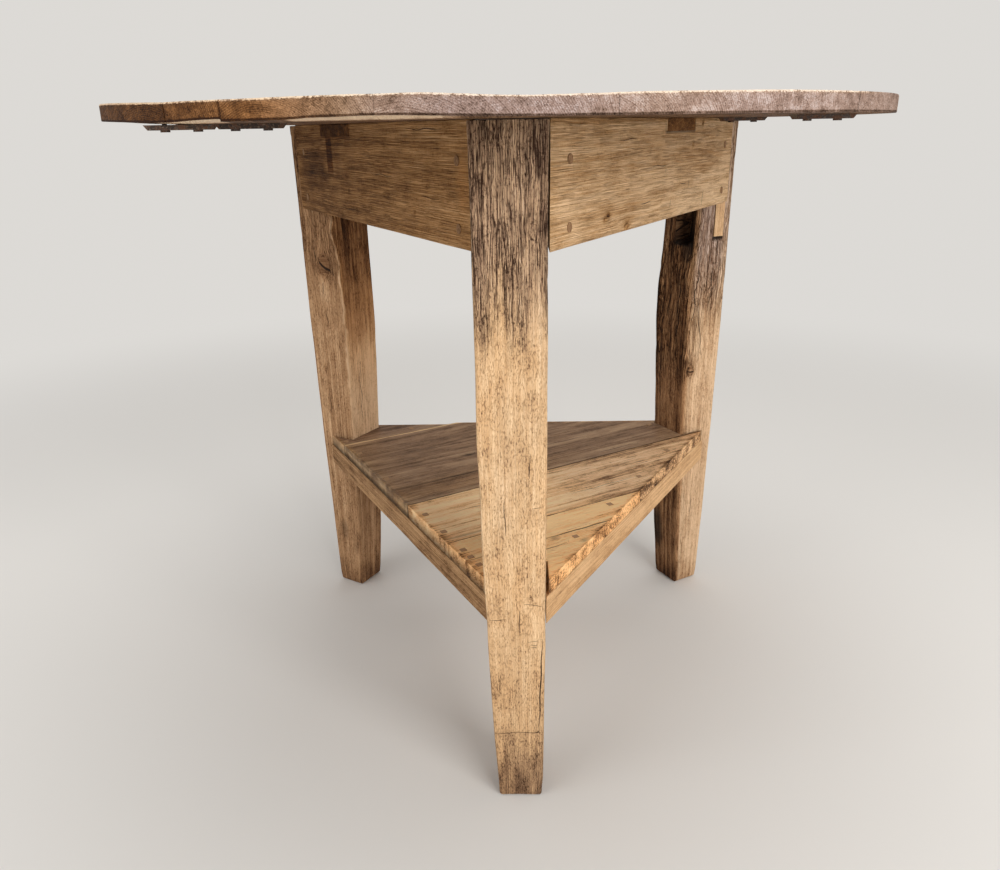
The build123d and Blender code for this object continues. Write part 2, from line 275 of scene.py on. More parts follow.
@dataclass
class Block:
    """A block of timber whose surface is a fine grid.

    The grid is made square, its arrises are eased, and its points are pushed in or out along
    their own directions, so that wear and grooves are real shape.
    """

    spans: Sequence[tuple[float, float]]
    steps: Sequence[float]
    arris: float = 2.0
    points: Array = field(init=False)
    faces: Array = field(init=False)

    def __post_init__(self) -> None:
        """Lay out the grid over all six sides."""
        lines = [cuts(low, high, step, self.arris) for (low, high), step in zip(self.spans, self.steps)]
        shape = tuple(len(line) for line in lines)
        shell = np.zeros(shape, bool)
        for axis in range(3):
            index = [slice(None)] * 3
            for end in (0, -1):
                index[axis] = end
                shell[tuple(index)] = True
        numbers = np.full(shape, -1, np.int64)
        numbers[shell] = np.arange(int(shell.sum()))
        where = np.argwhere(shell)
        self.points = np.stack([lines[axis][where[:, axis]] for axis in range(3)], axis=1)
        faces = []
        for axis in range(3):
            for end in (0, -1):
                side = np.take(numbers, 0 if end == 0 else shape[axis] - 1, axis=axis)
                quad = [side[:-1, :-1], side[1:, :-1], side[1:, 1:], side[:-1, 1:]]
                flip = (end == 0) != (axis == 1)
                order = (0, 3, 2, 1) if flip else (0, 1, 2, 3)
                faces.append(np.stack([quad[i].ravel() for i in order], axis=1))
        self.faces = np.concatenate(faces)

    def corners(self) -> tuple[Array, Array]:
        """Give the block's lowest and highest corner."""
        low, high = np.array(self.spans).T
        return low, high

    def near_arris(self, reach: float) -> Array:
        """Give 1 at the arrises and 0 beyond a reach from them.

        Args:
            reach: The reach, in millimetres.

        Returns:
            The share at each grid point.
        """
        low, high = self.corners()
        depth = np.sort(np.minimum(self.points - low, high - self.points), axis=1)
        return fade(depth[:, 1], reach, 0.0)

    def eased(self, radius: Array, push: Array, power: float = 2.0) -> Array:
        """Round the arrises and push the surface along its own direction.

        Args:
            radius: Radius of the arris at each point, in millimetres.
            push: How far each point moves out, in millimetres.
            power: 2 for a round arris, 1 for a flat bevel.

        Returns:
            The moved points, shape (n, 3).
        """
        low, high = self.corners()
        inside = np.clip(self.points, low + radius[:, None], high - radius[:, None])
        away = self.points - inside
        length = (np.abs(away) ** power).sum(axis=1) ** (1.0 / power)
        return inside + away / length[:, None] * (radius + push)[:, None]


@dataclass
class Surface:
    """A finished mesh with what its finish needs to know at each point."""

    points: Array
    faces: Sequence[Sequence[int]]
    grain: Array
    tints: Tints = field(default_factory=dict)
    cracks: Sequence[Array] = ()

    def mesh(self, name: str) -> bpy.types.Mesh:
        """Make the Blender mesh, in metres.

        Args:
            name: Name of the mesh.

        Returns:
            The mesh, smooth shaded, with its grain and tints as attributes.
        """
        mesh = bpy.data.meshes.new(name)
        faces = self.faces.tolist() if isinstance(self.faces, Array) else self.faces
        mesh.from_pydata((self.points * MM).tolist(), [], faces)
        mesh.polygons.foreach_set("use_smooth", [True] * len(mesh.polygons))
        cracks = joined(len(self.points), self.cracks)
        for key, values in {"grain": self.grain * MM, "split": cracks, **self.tints}.items():
            kind, part = ("FLOAT", "value") if values.ndim == 1 else ("FLOAT_VECTOR", "vector")
            mesh.attributes.new(key, kind, "POINT").data.foreach_set(part, values.astype(np.float32).ravel())
        mesh.update()
        return mesh


@dataclass(frozen=True)
class Axes:
    """Where a piece lies: its own axes and corner in the table's frame, in millimetres."""

    origin: Point
    x: Point
    y: Point
    z: Point = (0.0, 0.0, 1.0)

    def place(self, points: Array) -> Array:
        """Carry a piece's own points into the table's frame."""
        return points @ np.array([self.x, self.y, self.z]) + np.array(self.origin)

    def local(self, points: Array) -> Array:
        """Carry points of the table's frame into the piece's own axes."""
        return (points - np.array(self.origin)) @ np.array([self.x, self.y, self.z]).T


def put(name: str, surface: Surface, material: bpy.types.Material, node: str) -> Piece:
    """Add a piece that stands for a node of the frame.

    Args:
        name: Name of the piece.
        surface: Its mesh data.
        material: Its finish.
        node: The node that it stands for.

    Returns:
        The new object.
    """
    piece = bpy.data.objects.new(name, surface.mesh(name))
    bpy.context.scene.collection.objects.link(piece)
    piece.data.materials.append(material)
    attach(piece, "root")
    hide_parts(node)
    log.info("%s stands for %s with %d faces", name, node, len(piece.data.polygons))
    return piece


# Shader node helpers
class Wiring:
    """Adds and joins the nodes of one tree."""

    def __init__(self, tree: bpy.types.NodeTree) -> None:
        """Keep the tree that nodes are added to."""
        self.tree = tree

    def add(self, kind: str, **settings: object) -> bpy.types.Node:
        """Add a node of a kind, with its plain settings.

        Args:
            kind: Type of the node.
            **settings: Its settings by name.

        Returns:
            The node.
        """
        node = self.tree.nodes.new(kind)
        for key, value in settings.items():
            setattr(node, key, value)
        return node

    def feed(self, socket: Socket, value: object) -> None:
        """Link a socket, or set its own value.

        Args:
            socket: The input socket.
            value: The socket or the value that feeds it.
        """
        if isinstance(value, Socket):
            self.tree.links.new(value, socket)
        elif isinstance(value, tuple) and len(value) == 3 and socket.type == "RGBA":
            socket.default_value = (*value, 1.0)
        else:
            socket.default_value = value

    def math(self, operation: str, *values: Value, clamp: bool = False) -> Socket:
        """Add a Math node.

        Args:
            operation: What it does.
            *values: What feeds it.
            clamp: Whether its result is kept from 0 to 1.

        Returns:
            Its result.
        """
        node = self.add("ShaderNodeMath", operation=operation, use_clamp=clamp)
        for socket, value in zip(node.inputs, values):
            self.feed(socket, value)
        return node.outputs[0]

    def vector(self, operation: str, *values: object) -> Socket:
        """Add a Vector Math node.

        Args:
            operation: What it does.
            *values: What feeds it.

        Returns:
            Its vector, or its value for a length.
        """
        node = self.add("ShaderNodeVectorMath", operation=operation)
        for socket, value in zip(node.inputs, values):
            self.feed(socket, value)
        return node.outputs["Value" if operation == "LENGTH" else "Vector"]

    def scaled(self, vector: object, factor: Value) -> Socket:
        """Scale a vector by one factor.

        Args:
            vector: The vector.
            factor: The factor.

        Returns:
            The scaled vector.
        """
        node = self.add("ShaderNodeVectorMath", operation="SCALE")
        self.feed(node.inputs[0], vector)
        self.feed(node.inputs["Scale"], factor)
        return node.outputs[0]

    def stretched(self, place: object, by: object, factor: Value) -> Socket:
        """Stretch a place along each axis, and then scale it by one factor.

        Args:
            place: The place.
            by: What each axis is multiplied by.
            factor: What all axes are multiplied by.

        Returns:
            The new place.
        """
        return self.scaled(self.vector("MULTIPLY", place, by), factor)

    def mix(self, factor: Value, low: object, high: object, blend: str = "MIX") -> Socket:
        """Mix two colours.

        Args:
            factor: 0 for the first colour and 1 for the second.
            low: The first colour.
            high: The second colour.
            blend: How they are mixed.

        Returns:
            The mixed colour.
        """
        node = self.add("ShaderNodeMix", data_type="RGBA", blend_type=blend, clamp_factor=True)
        for index, value in ((0, factor), (6, low), (7, high)):
            self.feed(node.inputs[index], value)
        return node.outputs[2]

    def span(self, value: Value, *ends: float) -> Socket:
        """Map a value from one range to another, smoothly and within limits.

        Args:
            value: The value.
            *ends: Where the range starts and ends, and what it then becomes if not 0 and 1.

        Returns:
            The mapped value.
        """
        node = self.add("ShaderNodeMapRange", interpolation_type="SMOOTHSTEP")
        for socket, number in zip(node.inputs, (value, *ends)):
            self.feed(socket, number)
        return node.outputs[0]

    def noise(
        self, place: object, stretch: Optional[Point] = None, scale: float = 1.0, detail: float = 2.0,
        rough: float = 0.5, out: str = "Fac",
    ) -> Socket:
        """Add a noise texture.

        Args:
            place: Where it is read.
            stretch: What each axis of the place is multiplied by first.
            scale: How fine it is.
            detail: How many finer layers it has.
            rough: How strong the finer layers are.
            out: Fac for a value, or Color for a vector.

        Returns:
            That output.
        """
        node = self.add("ShaderNodeTexNoise")
        self.feed(node.inputs["Vector"], self.vector("MULTIPLY", place, stretch) if stretch else place)
        for key, number in (("Scale", scale), ("Detail", detail), ("Roughness", rough)):
            node.inputs[key].default_value = number
        return node.outputs[out]

    def strayed(
        self, place: Socket, stretch: Point, reach: Value, spread: float, detail: float = 2.0
    ) -> Socket:
        """Let a place wander, so that the grain read there isn't straight.

        Args:
            place: The place.
            stretch: How fast it wanders along each axis.
            reach: How far it wanders, from the finish.
            spread: How many times as far.
            detail: How many finer layers the path has.

        Returns:
            The place that is reached.
        """
        drift = self.noise(place, stretch, detail=detail, out="Color")
        drift = self.vector("SUBTRACT", drift, (0.5, 0.5, 0.5))
        return self.vector("ADD", place, self.stretched(drift, (spread, spread, 0.0), reach))

    def bump(self, shader: bpy.types.Node, height: Socket, distance: float, strength: float = 1.0) -> None:
        """Tip a shader's normal by a height.

        Args:
            shader: The shader.
            height: The height, as a share of the distance.
            distance: Full height, in metres.
            strength: How much of it counts.
        """
        node = self.add("ShaderNodeBump")
        node.inputs["Strength"].default_value = strength
        node.inputs["Distance"].default_value = distance
        self.feed(node.inputs["Height"], height)
        self.feed(shader.inputs["Normal"], node.outputs["Normal"])

    def shade(self, kind: str, factor: Value, low: bpy.types.Node, high: bpy.types.Node) -> None:
        """End the tree in a mix of two shaders.

        Args:
            kind: Name of the output node.
            factor: 0 for the first shader and 1 for the second.
            low: The first shader.
            high: The second shader.
        """
        mixed = self.add("ShaderNodeMixShader")
        for socket, value in zip(mixed.inputs, (factor, low.outputs[0], high.outputs[0])):
            self.feed(socket, value)
        self.feed(self.tree.nodes[kind].inputs["Surface"], mixed.outputs[0])


def painted(name: str) -> tuple[bpy.types.Material, Wiring, bpy.types.Node]:
    """Start a node material.

    Args:
        name: Its name.

    Returns:
        The material, its wiring and its Principled shader.
    """
    material = bpy.data.materials.new(name)
    material.use_nodes = True
    return material, Wiring(material.node_tree), material.node_tree.nodes["Principled BSDF"]


FLOAT, VECTOR, COLOUR = "NodeSocketFloat", "NodeSocketVector", "NodeSocketColor"
ANYWHERE = (VECTOR, (0.0, 0.0, 0.0))


class Effect:
    """A shader node group that several finishes share."""

    def __init__(
        self, name: str, inputs: dict[str, tuple[str, object]], outputs: Sequence[str], kind: str = FLOAT
    ) -> None:
        """Make the group with its sockets.

        Args:
            name: Name of the group.
            inputs: Socket name to its type and default.
            outputs: Names of the output sockets.
            kind: Their type.
        """
        self.tree = bpy.data.node_groups.new(name, "ShaderNodeTree")
        for key, (given, value) in inputs.items():
            socket = self.tree.interface.new_socket(name=key, in_out="INPUT", socket_type=given)
            socket.default_value = value
        for key in outputs:
            self.tree.interface.new_socket(name=key, in_out="OUTPUT", socket_type=kind)
        self.wiring = Wiring(self.tree)
        self.inputs = self.wiring.add("NodeGroupInput").outputs
        self.outputs = self.wiring.add("NodeGroupOutput").inputs

    def give(self, **values: Socket) -> "Effect":
        """Feed the group's outputs.

        Args:
            **values: Output names and what feeds them.

        Returns:
            The group itself.
        """
        for key, value in values.items():
            self.wiring.feed(self.outputs[key], value)
        return self

    def use(self, wiring: Wiring, **values: object) -> bpy.types.NodeOutputs:
        """Place the group in a material.

        Args:
            wiring: The material's wiring.
            **values: Input names, with _ for a space, and what feeds them.

        Returns:
            The outputs of the placed group.
        """
        node = wiring.add("ShaderNodeGroup", node_tree=self.tree)
        for key, value in values.items():
            wiring.feed(node.inputs[key.replace("_", " ")], value)
        return node.outputs


def grain_effect() -> Effect:
    """Growth rings, fibre and pores of solid wood, whose heart runs along Z at the origin.

    Returns:
        The finished group.
    """
    effect = Effect(
        "Timber grain",
        {
            "Vector": ANYWHERE,
            "Ring Width": (FLOAT, 0.003),
            "Wander": (FLOAT, 0.006),
            "Fineness": (FLOAT, 1.0),
            "Breadth": (FLOAT, 1.0),
            "Pore Length": (FLOAT, 1.0),
        },
        ("Rings", "Fibre", "Streaks", "Pores", "Height"),
    )
    w, given = effect.wiring, effect.inputs
    bent = w.strayed(given["Vector"], (11.0, 11.0, 2.8), given["Wander"], 2.0, detail=3.0)
    from_heart = w.vector("LENGTH", w.vector("MULTIPLY", bent, (1.0, 1.0, 0.0)))
    count = w.math("DIVIDE", from_heart, given["Ring Width"])
    count = w.math("MULTIPLY_ADD", w.noise(bent, (260.0, 260.0, 14.0)), 0.8, count)
    part = w.math("FRACT", count)
    each = w.add("ShaderNodeTexWhiteNoise", noise_dimensions="1D")
    w.feed(each.inputs["W"], w.math("FLOOR", count))
    depth = w.math("MULTIPLY_ADD", each.outputs["Value"], 0.7, 0.3)
    rings = w.math("MULTIPLY", w.math("POWER", part, 1.8), w.span(part, 0.90, 1.0, 1.0, 0.0))
    rings = w.math("MULTIPLY", rings, depth)
    fine = w.stretched(bent, (600.0, 600.0, 6.0), given["Fineness"])
    fibre = w.span(w.noise(fine, detail=3.0, rough=0.7), 0.34, 0.66)
    broad = w.stretched(bent, (130.0, 130.0, 2.4), w.math("DIVIDE", 1.0, given["Breadth"]))
    streaks = w.span(w.noise(broad, detail=5.0, rough=0.6), 0.34, 0.66)
    drawn = w.add("ShaderNodeCombineXYZ")
    for socket, value in zip(drawn.inputs, (1050.0, 1050.0, w.math("DIVIDE", 210.0, given["Pore Length"]))):
        w.feed(socket, value)
    dots = w.noise(w.stretched(bent, drawn.outputs[0], given["Fineness"]), rough=0.6)
    dense = w.noise(bent, (90.0, 90.0, 40.0), detail=3.0)
    pores = w.span(w.math("MULTIPLY_ADD", dense, 0.14, w.math("SUBTRACT", dots, 0.07)), 0.55, 0.66)
    height = w.math("MULTIPLY_ADD", rings, 0.5, w.math("MULTIPLY", fibre, 0.5))
    height = w.math("MULTIPLY_ADD", pores, -0.8, height)
    return effect.give(Rings=rings, Fibre=fibre, Streaks=streaks, Pores=pores, Height=height)


def groove_effect() -> Effect:
    """Ragged weathering with furrows along the grain and paler ridges between them.

    Returns:
        The finished group.
    """
    effect = Effect(
        "Weathered furrows",
        {"Vector": ANYWHERE, "Amount": (FLOAT, 0.0), "Pitch": (FLOAT, 1.0), "Wander": (FLOAT, 0.002)},
        ("Worn", "Furrow", "Ridge", "Height"),
    )
    w, given = effect.wiring, effect.inputs
    bent = w.strayed(given["Vector"], (26.0, 26.0, 14.0), given["Wander"], 4.0)
    ragged = w.noise(bent, (210.0, 210.0, 5.0), detail=4.0, rough=0.7)
    worn = w.math("ADD", given["Amount"], w.math("MULTIPLY_ADD", ragged, 1.1, -0.55))
    worn = w.math("MULTIPLY", w.span(worn, 0.1, 0.8), w.span(given["Amount"], 0.02, 0.2))
    wide = w.noise(w.stretched(bent, (330.0, 330.0, 9.0), given["Pitch"]), rough=0.6)
    furrow = w.span(w.math("ABSOLUTE", w.math("SUBTRACT", wide, 0.5)), 0.008, 0.045, 1.0, 0.0)
    tight = w.noise(w.stretched(bent, (640.0, 640.0, 17.0), given["Pitch"]), detail=3.0, rough=0.6)
    furrow = w.math("MAXIMUM", furrow, w.math("MULTIPLY", w.span(tight, 0.56, 0.66), 0.8))
    furrow = w.math("MULTIPLY", furrow, worn, clamp=True)
    ridge = w.math("MULTIPLY", w.span(tight, 0.50, 0.36), worn, clamp=True)
    height = w.math("SUBTRACT", w.math("MULTIPLY", ridge, 0.4), furrow)
    return effect.give(Worn=worn, Furrow=furrow, Ridge=ridge, Height=height)


def grime_effect() -> Effect:
    """Blotches of old wax and dirt, fine dark specks and scratches across the grain.

    Returns:
        The finished group.
    """
    effect = Effect("Grime", {"Vector": ANYWHERE, "Size": (FLOAT, 1.0)}, ("Blotch", "Specks", "Scratches"))
    w, given = effect.wiring, effect.inputs
    place = w.scaled(given["Vector"], given["Size"])
    blotch = w.noise(place, (70.0, 70.0, 26.0), detail=6.0, rough=0.68)
    specks = w.noise(place, (430.0, 430.0, 290.0), detail=3.0, rough=0.7)
    cluster = w.math("MULTIPLY_ADD", blotch, 0.5, w.math("SUBTRACT", specks, 0.25))
    across = w.noise(place, (45.0, 45.0, 1500.0), detail=1.0)
    return effect.give(
        Blotch=w.span(blotch, 0.38, 0.66),
        Specks=w.span(cluster, 0.56, 0.68),
        Scratches=w.span(across, 0.66, 0.72),
    )


def crack_effect() -> Effect:
    """Draws a sharp, slightly ragged crack from a distance, an openness and a half width.

    Returns:
        The finished group.
    """
    effect = Effect(
        "Crack",
        {"Split": (VECTOR, (0.01, 0.0, 0.0002)), "Vector": ANYWHERE, "Raggedness": (FLOAT, 0.0008)},
        ("Crack",),
    )
    w, given = effect.wiring, effect.inputs
    parts = w.add("ShaderNodeSeparateXYZ")
    w.feed(parts.inputs[0], given["Split"])
    ragged = w.math("SUBTRACT", w.noise(given["Vector"], scale=420.0), 0.5)
    ragged = w.math("MULTIPLY", ragged, given["Raggedness"])
    away = w.math("ABSOLUTE", w.math("ADD", parts.outputs[0], ragged))
    ratio = w.math("DIVIDE", away, w.math("MAXIMUM", parts.outputs[2], 0.0001))
    line = w.math("MULTIPLY", w.span(ratio, 1.25, 0.5), w.span(parts.outputs[1], 0.25, 0.6))
    return effect.give(Crack=line)


def edge_effect() -> Effect:
    """Ragged pale wear along an arris, from how close the arris is.

    Returns:
        The finished group.
    """
    effect = Effect("Edge wear", {"Vector": ANYWHERE, "Edge": (FLOAT, 0.0), "Grit": (FLOAT, 1.0)}, ("Wear",))
    w, given = effect.wiring, effect.inputs
    place = w.stretched(given["Vector"], (480.0, 480.0, 150.0), given["Grit"])
    ragged = w.noise(place, detail=4.0, rough=0.7)
    level = w.math("MULTIPLY_ADD", ragged, 1.0, w.math("SUBTRACT", given["Edge"], 0.5))
    return effect.give(Wear=w.math("MULTIPLY", w.span(level, 0.45, 0.75), w.span(given["Edge"], 0.02, 0.2)))


def patina_effect() -> Effect:
    """Turns a lightness into the colours of aged wood, warmer or greyer, with soot-black marks and painted
    shade.

    Returns:
        The finished group.
    """
    effect = Effect(
        "Patina",
        {
            "Value": (FLOAT, 0.5),
            "Warm": (FLOAT, 0.0),
            "Soot": (FLOAT, 0.0),
            "Deep": (COLOUR, (0.03, 0.015, 0.01, 1.0)),
            "Dark": (COLOUR, (0.12, 0.07, 0.04, 1.0)),
            "Middle": (COLOUR, (0.40, 0.25, 0.14, 1.0)),
            "Pale": (COLOUR, (0.75, 0.55, 0.36, 1.0)),
        },
        ("Colour",),
        COLOUR,
    )
    w, given = effect.wiring, effect.inputs
    colour = given["Deep"]
    for low, high, name in ((-0.15, 0.25, "Dark"), (0.12, 0.60, "Middle"), (0.48, 1.05, "Pale")):
        colour = w.mix(w.span(given["Value"], low, high), colour, given[name])
    for sign, shade in ((1.0, (1.15, 0.86, 0.50)), (-1.0, (0.90, 1.03, 1.50))):
        shaded = w.mix(1.0, colour, shade, "MULTIPLY")
        colour = w.mix(w.math("MULTIPLY", given["Warm"], sign, clamp=True), colour, shaded)
    colour = w.mix(w.math("MULTIPLY", given["Soot"], 1.0, clamp=True), colour, (0.014, 0.009, 0.007))
    return effect.give(Colour=colour)


class Place(Enum):
    """Where a finish reads the run of its grain."""

    ATTRIBUTE = "grain"
    OBJECT = "object"


@dataclass
class Effects:
    """The shared node groups, built once."""

    grain: Effect = field(default_factory=grain_effect)
    grooves: Effect = field(default_factory=groove_effect)
    grime: Effect = field(default_factory=grime_effect)
    crack: Effect = field(default_factory=crack_effect)
    edge: Effect = field(default_factory=edge_effect)
    patina: Effect = field(default_factory=patina_effect)


@dataclass(frozen=True)
class WoodFinish:
    """A kind of wood and how it has aged."""

    name: str
    deep: Colour
    dark: Colour
    middle: Colour
    pale: Colour
    ring_width: float = 3.0
    wander: float = 6.0
    rings: float = 0.35
    fibre: float = 0.30
    streaks: float = 0.30
    pores: float = 0.35
    blotch: float = 0.16
    specks: float = 0.20
    worn: float = 0.45
    furrow: float = 0.75
    ridge: float = 0.35
    fineness: float = 1.0
    breadth: float = 1.0
    pitch: float = 1.0
    sway: float = 2.0
    pore_length: float = 1.0
    wear: float = 0.14
    gloss: float = 0.55
    relief: float = 0.5
    place: Place = Place.ATTRIBUTE

    def material(self, effects: Effects) -> bpy.types.Material:
        """Build the node material.

        Args:
            effects: The shared node groups.

        Returns:
            The material.
        """
        material, w, shader = painted(self.name)
        if self.place is Place.ATTRIBUTE:
            where = w.add("ShaderNodeAttribute", attribute_name="grain").outputs["Vector"]
        else:
            where = w.add("ShaderNodeTexCoord").outputs["Object"]
        tints = {key: w.add("ShaderNodeAttribute", attribute_name=key).outputs["Fac"] for key in TINTS}
        grain = effects.grain.use(
            w, Vector=where, Ring_Width=self.ring_width * MM, Wander=self.wander * MM,
            Fineness=self.fineness, Breadth=self.breadth, Pore_Length=self.pore_length,
        )
        grooves = effects.grooves.use(
            w, Vector=where, Amount=tints["weather"], Pitch=self.pitch, Wander=self.sway * MM
        )
        grime = effects.grime.use(w, Vector=where, Size=1.0)
        split = w.add("ShaderNodeAttribute", attribute_name="split").outputs["Vector"]
        crack = effects.crack.use(w, Split=split, Vector=where)["Crack"]
        wear = effects.edge.use(w, Vector=where, Edge=tints["edge"])["Wear"]
        soot = w.math("MAXIMUM", tints["soot"], w.math("MULTIPLY", crack, 0.92))
        level = 0.5 - 0.5 * (self.fibre - self.streaks - self.blotch) + 0.25 * self.rings + 0.1 * self.pores
        value = w.math("MULTIPLY_ADD", tints["tone"], 0.6, level)
        for pattern, weight in (
            (grain["Fibre"], self.fibre),
            (grain["Streaks"], -self.streaks),
            (grain["Rings"], -self.rings),
            (grain["Pores"], -self.pores),
            (grime["Blotch"], -self.blotch),
            (grime["Specks"], -self.specks),
            (grime["Scratches"], 0.08),
            (grooves["Worn"], -self.worn),
            (grooves["Furrow"], -self.furrow),
            (grooves["Ridge"], self.ridge),
            (wear, self.wear),
        ):
            value = w.math("MULTIPLY_ADD", pattern, weight, value)
        colour = effects.patina.use(
            w, Value=value, Warm=tints["warm"], Soot=soot,
            Deep=self.deep, Dark=self.dark, Middle=self.middle, Pale=self.pale,
        )["Colour"]
        w.feed(shader.inputs["Base Color"], colour)
        w.feed(shader.inputs["Roughness"], w.span(value, 0.0, 1.0, self.gloss + 0.22, self.gloss))
        high = grain["Height"]
        for pattern, weight in ((grooves["Height"], 2.2), (grime["Blotch"], 0.35), (crack, -3.0)):
            high = w.math("MULTIPLY_ADD", pattern, weight, high)
        w.bump(shader, high, self.relief * MM)
        shader.inputs["Specular IOR Level"].default_value = 0.10
        return material


@dataclass(frozen=True)
class IronFinish:
    """Old iron: dark scale, brown rust and rubbed spots."""

    name: str
    scale: Colour
    rust: Colour
    rubbed: Colour
    rusting: float = 0.5
    bare: float = 0.4

    def material(self) -> bpy.types.Material:
        """Build the node material.

        Returns:
            The material.
        """
        material, w, shader = painted(self.name)
        where = w.add("ShaderNodeTexCoord").outputs["Object"]
        wide = w.noise(where, scale=110.0, detail=5.0, rough=0.65)
        fine = w.noise(where, scale=700.0, detail=3.0, rough=0.6)
        rust = w.span(wide, 0.62 - 0.3 * self.rusting, 0.72 - 0.3 * self.rusting)
        colour = w.mix(rust, self.scale, self.rust)
        colour = w.mix(w.span(fine, 0.56, 0.70), colour, self.rubbed)
        w.feed(shader.inputs["Base Color"], colour)
        w.feed(shader.inputs["Metallic"], w.span(rust, 0.0, 1.0, self.bare, 0.05))
        w.feed(shader.inputs["Roughness"], w.span(rust, 0.0, 1.0, 0.45, 0.85))
        w.bump(shader, w.math("ADD", wide, fine), 0.4 * MM, strength=0.6)
        return material


class Finish(Enum):
    """Every finish of the table."""

    FRONT_LEG = WoodFinish(
        "front_leg_wood",
        (0.055, 0.026, 0.013), (0.22, 0.122, 0.066), (0.62, 0.385, 0.200), (0.90, 0.65, 0.40),
        ring_width=2.4, rings=0.10, fibre=0.20, streaks=0.10, pores=0.26, blotch=0.16, specks=0.24, worn=0.16,
        furrow=0.46, ridge=0.22, fineness=1.25, pitch=1.4, gloss=0.62, relief=0.7,
    )
    BACK_LEG = WoodFinish(
        "back_leg_wood",
        (0.026, 0.010, 0.004), (0.155, 0.074, 0.034), (0.44, 0.255, 0.132), (0.76, 0.52, 0.32),
        ring_width=3.0, rings=0.18, fibre=0.24, streaks=0.20, pores=0.20, blotch=0.16, specks=0.22, worn=0.12,
        furrow=0.42, ridge=0.22, sway=3.5, gloss=0.58, relief=0.7,
    )
    APRON = WoodFinish(
        "apron_wood", (0.034, 0.013, 0.004), (0.165, 0.077, 0.025), (0.46, 0.265, 0.115), (0.84, 0.60, 0.37),
        ring_width=1.0, wander=3.0, rings=0.20, fibre=0.32, streaks=0.18, pores=0.15, blotch=0.10,
        specks=0.11, fineness=2.5, pore_length=26.0, gloss=0.5, relief=0.7,
    )
    STRETCHER = WoodFinish(
        "stretcher_wood", (0.04, 0.018, 0.008), (0.17, 0.088, 0.04), (0.45, 0.28, 0.145), (0.72, 0.50, 0.30),
        ring_width=2.4, rings=0.20, fibre=0.26, streaks=0.18, pores=0.14, specks=0.14, gloss=0.55,
        relief=0.35,
    )
    SHELF = WoodFinish(
        "shelf_wood", (0.024, 0.010, 0.005), (0.105, 0.054, 0.028), (0.35, 0.205, 0.105), (0.76, 0.51, 0.27),
        ring_width=3.2, wander=12.0, rings=0.14, fibre=0.16, streaks=0.26, pores=0.08, blotch=0.14,
        specks=0.10, breadth=2.2, pore_length=5.0, gloss=0.42, relief=0.4,
    )
    SHELF_GOLD = WoodFinish(
        "shelf_golden_wood",
        (0.06, 0.026, 0.010), (0.36, 0.185, 0.078), (0.89, 0.55, 0.28), (1.0, 0.765, 0.465),
        ring_width=3.0, wander=10.0, rings=0.34, fibre=0.30, streaks=0.44, pores=0.32, blotch=0.24,
        specks=0.20, breadth=1.6, pore_length=5.0, gloss=0.42, relief=0.5,
    )
    TOP = WoodFinish(
        "top_wood", (0.030, 0.013, 0.006), (0.13, 0.070, 0.036), (0.38, 0.235, 0.145), (0.86, 0.68, 0.50),
        ring_width=1.6, wander=7.0, rings=0.32, fibre=0.14, streaks=0.14, pores=0.12, blotch=0.14,
        specks=0.14, wear=0.85, gloss=0.42, relief=0.5,
    )
    PEG = WoodFinish(
        "peg_wood", (0.04, 0.018, 0.008), (0.14, 0.068, 0.030), (0.27, 0.148, 0.072), (0.42, 0.25, 0.13),
        ring_width=1.2, wander=2.0, place=Place.OBJECT,
    )
    NEW_WOOD = WoodFinish(
        "new_wood", (0.2, 0.1, 0.05), (0.40, 0.23, 0.11), (0.66, 0.42, 0.23), (0.85, 0.62, 0.38),
        ring_width=2.4, wander=2.0, streaks=0.2, pores=0.15, specks=0.1, place=Place.OBJECT,
    )
    IRON = IronFinish(
        "old_iron", (0.040, 0.025, 0.018), (0.105, 0.050, 0.028), (0.20, 0.14, 0.095), rusting=0.55
    )
    NAIL_IRON = IronFinish(
        "nail_iron", (0.34, 0.195, 0.10), (0.42, 0.245, 0.125), (0.50, 0.32, 0.18), rusting=1.0, bare=0.1
    )


@dataclass
class Palette:
    """Makes each finish's material once."""

    effects: Effects = field(default_factory=Effects)
    made: dict[Finish, bpy.types.Material] = field(default_factory=dict)

    def get(self, finish: Finish) -> bpy.types.Material:
        """Give the material of a finish.

        Args:
            finish: The finish.

        Returns:
            Its material, which is made at the first call.
        """
        if finish not in self.made:
            value = finish.value
            is_wood = isinstance(value, WoodFinish)
            self.made[finish] = value.material(self.effects) if is_wood else value.material()
        return self.made[finish]


# Shared sizes of the frame, in millimetres
@dataclass(frozen=True)
class TableFrame:
    """The sizes that several pieces share."""

    height: float = 713.0
    offset: float = 17.0
    leg_width: float = 69.0
    leg_depth: float = 68.0
    foot_width: float = 49.0
    foot_depth: float = 45.0
    face: float = 332.5
    splay: float = 2.5
    taper_height: float = 430.0
    apron_distance: float = 190.6
    stretcher_distance: float = 183.2
    back_stretcher_distance: float = 172.2

    def leg_at(self, z: Array) -> tuple[Array, Array, Array]:
        """Width, depth and face radius of a leg at each height.

        Args:
            z: Heights, in millimetres.

        Returns:
            All three, in millimetres.
        """
        taper = np.interp(z / self.taper_height, (0.0, 0.23, 0.58, 1.0), (1.0, 0.65, 0.32, 0.0))
        width = self.leg_width - taper * (self.leg_width - self.foot_width)
        depth = self.leg_depth - taper * (self.leg_depth - self.foot_depth)
        return width, depth, self.face - self.splay * (1.0 - z / self.height)

    def side_axes(self, facing: float) -> Axes:
        """Axes of a side of the frame or of a leg: X along or across it, Y outwards and Z up.

        Args:
            facing: Which way it faces, in degrees.

        Returns:
            The axes.
        """
        out = math.radians(facing)
        along = (-math.sin(out), math.cos(out), 0.0)
        return Axes((self.offset, 0.0, 0.0), along, (math.cos(out), math.sin(out), 0.0))


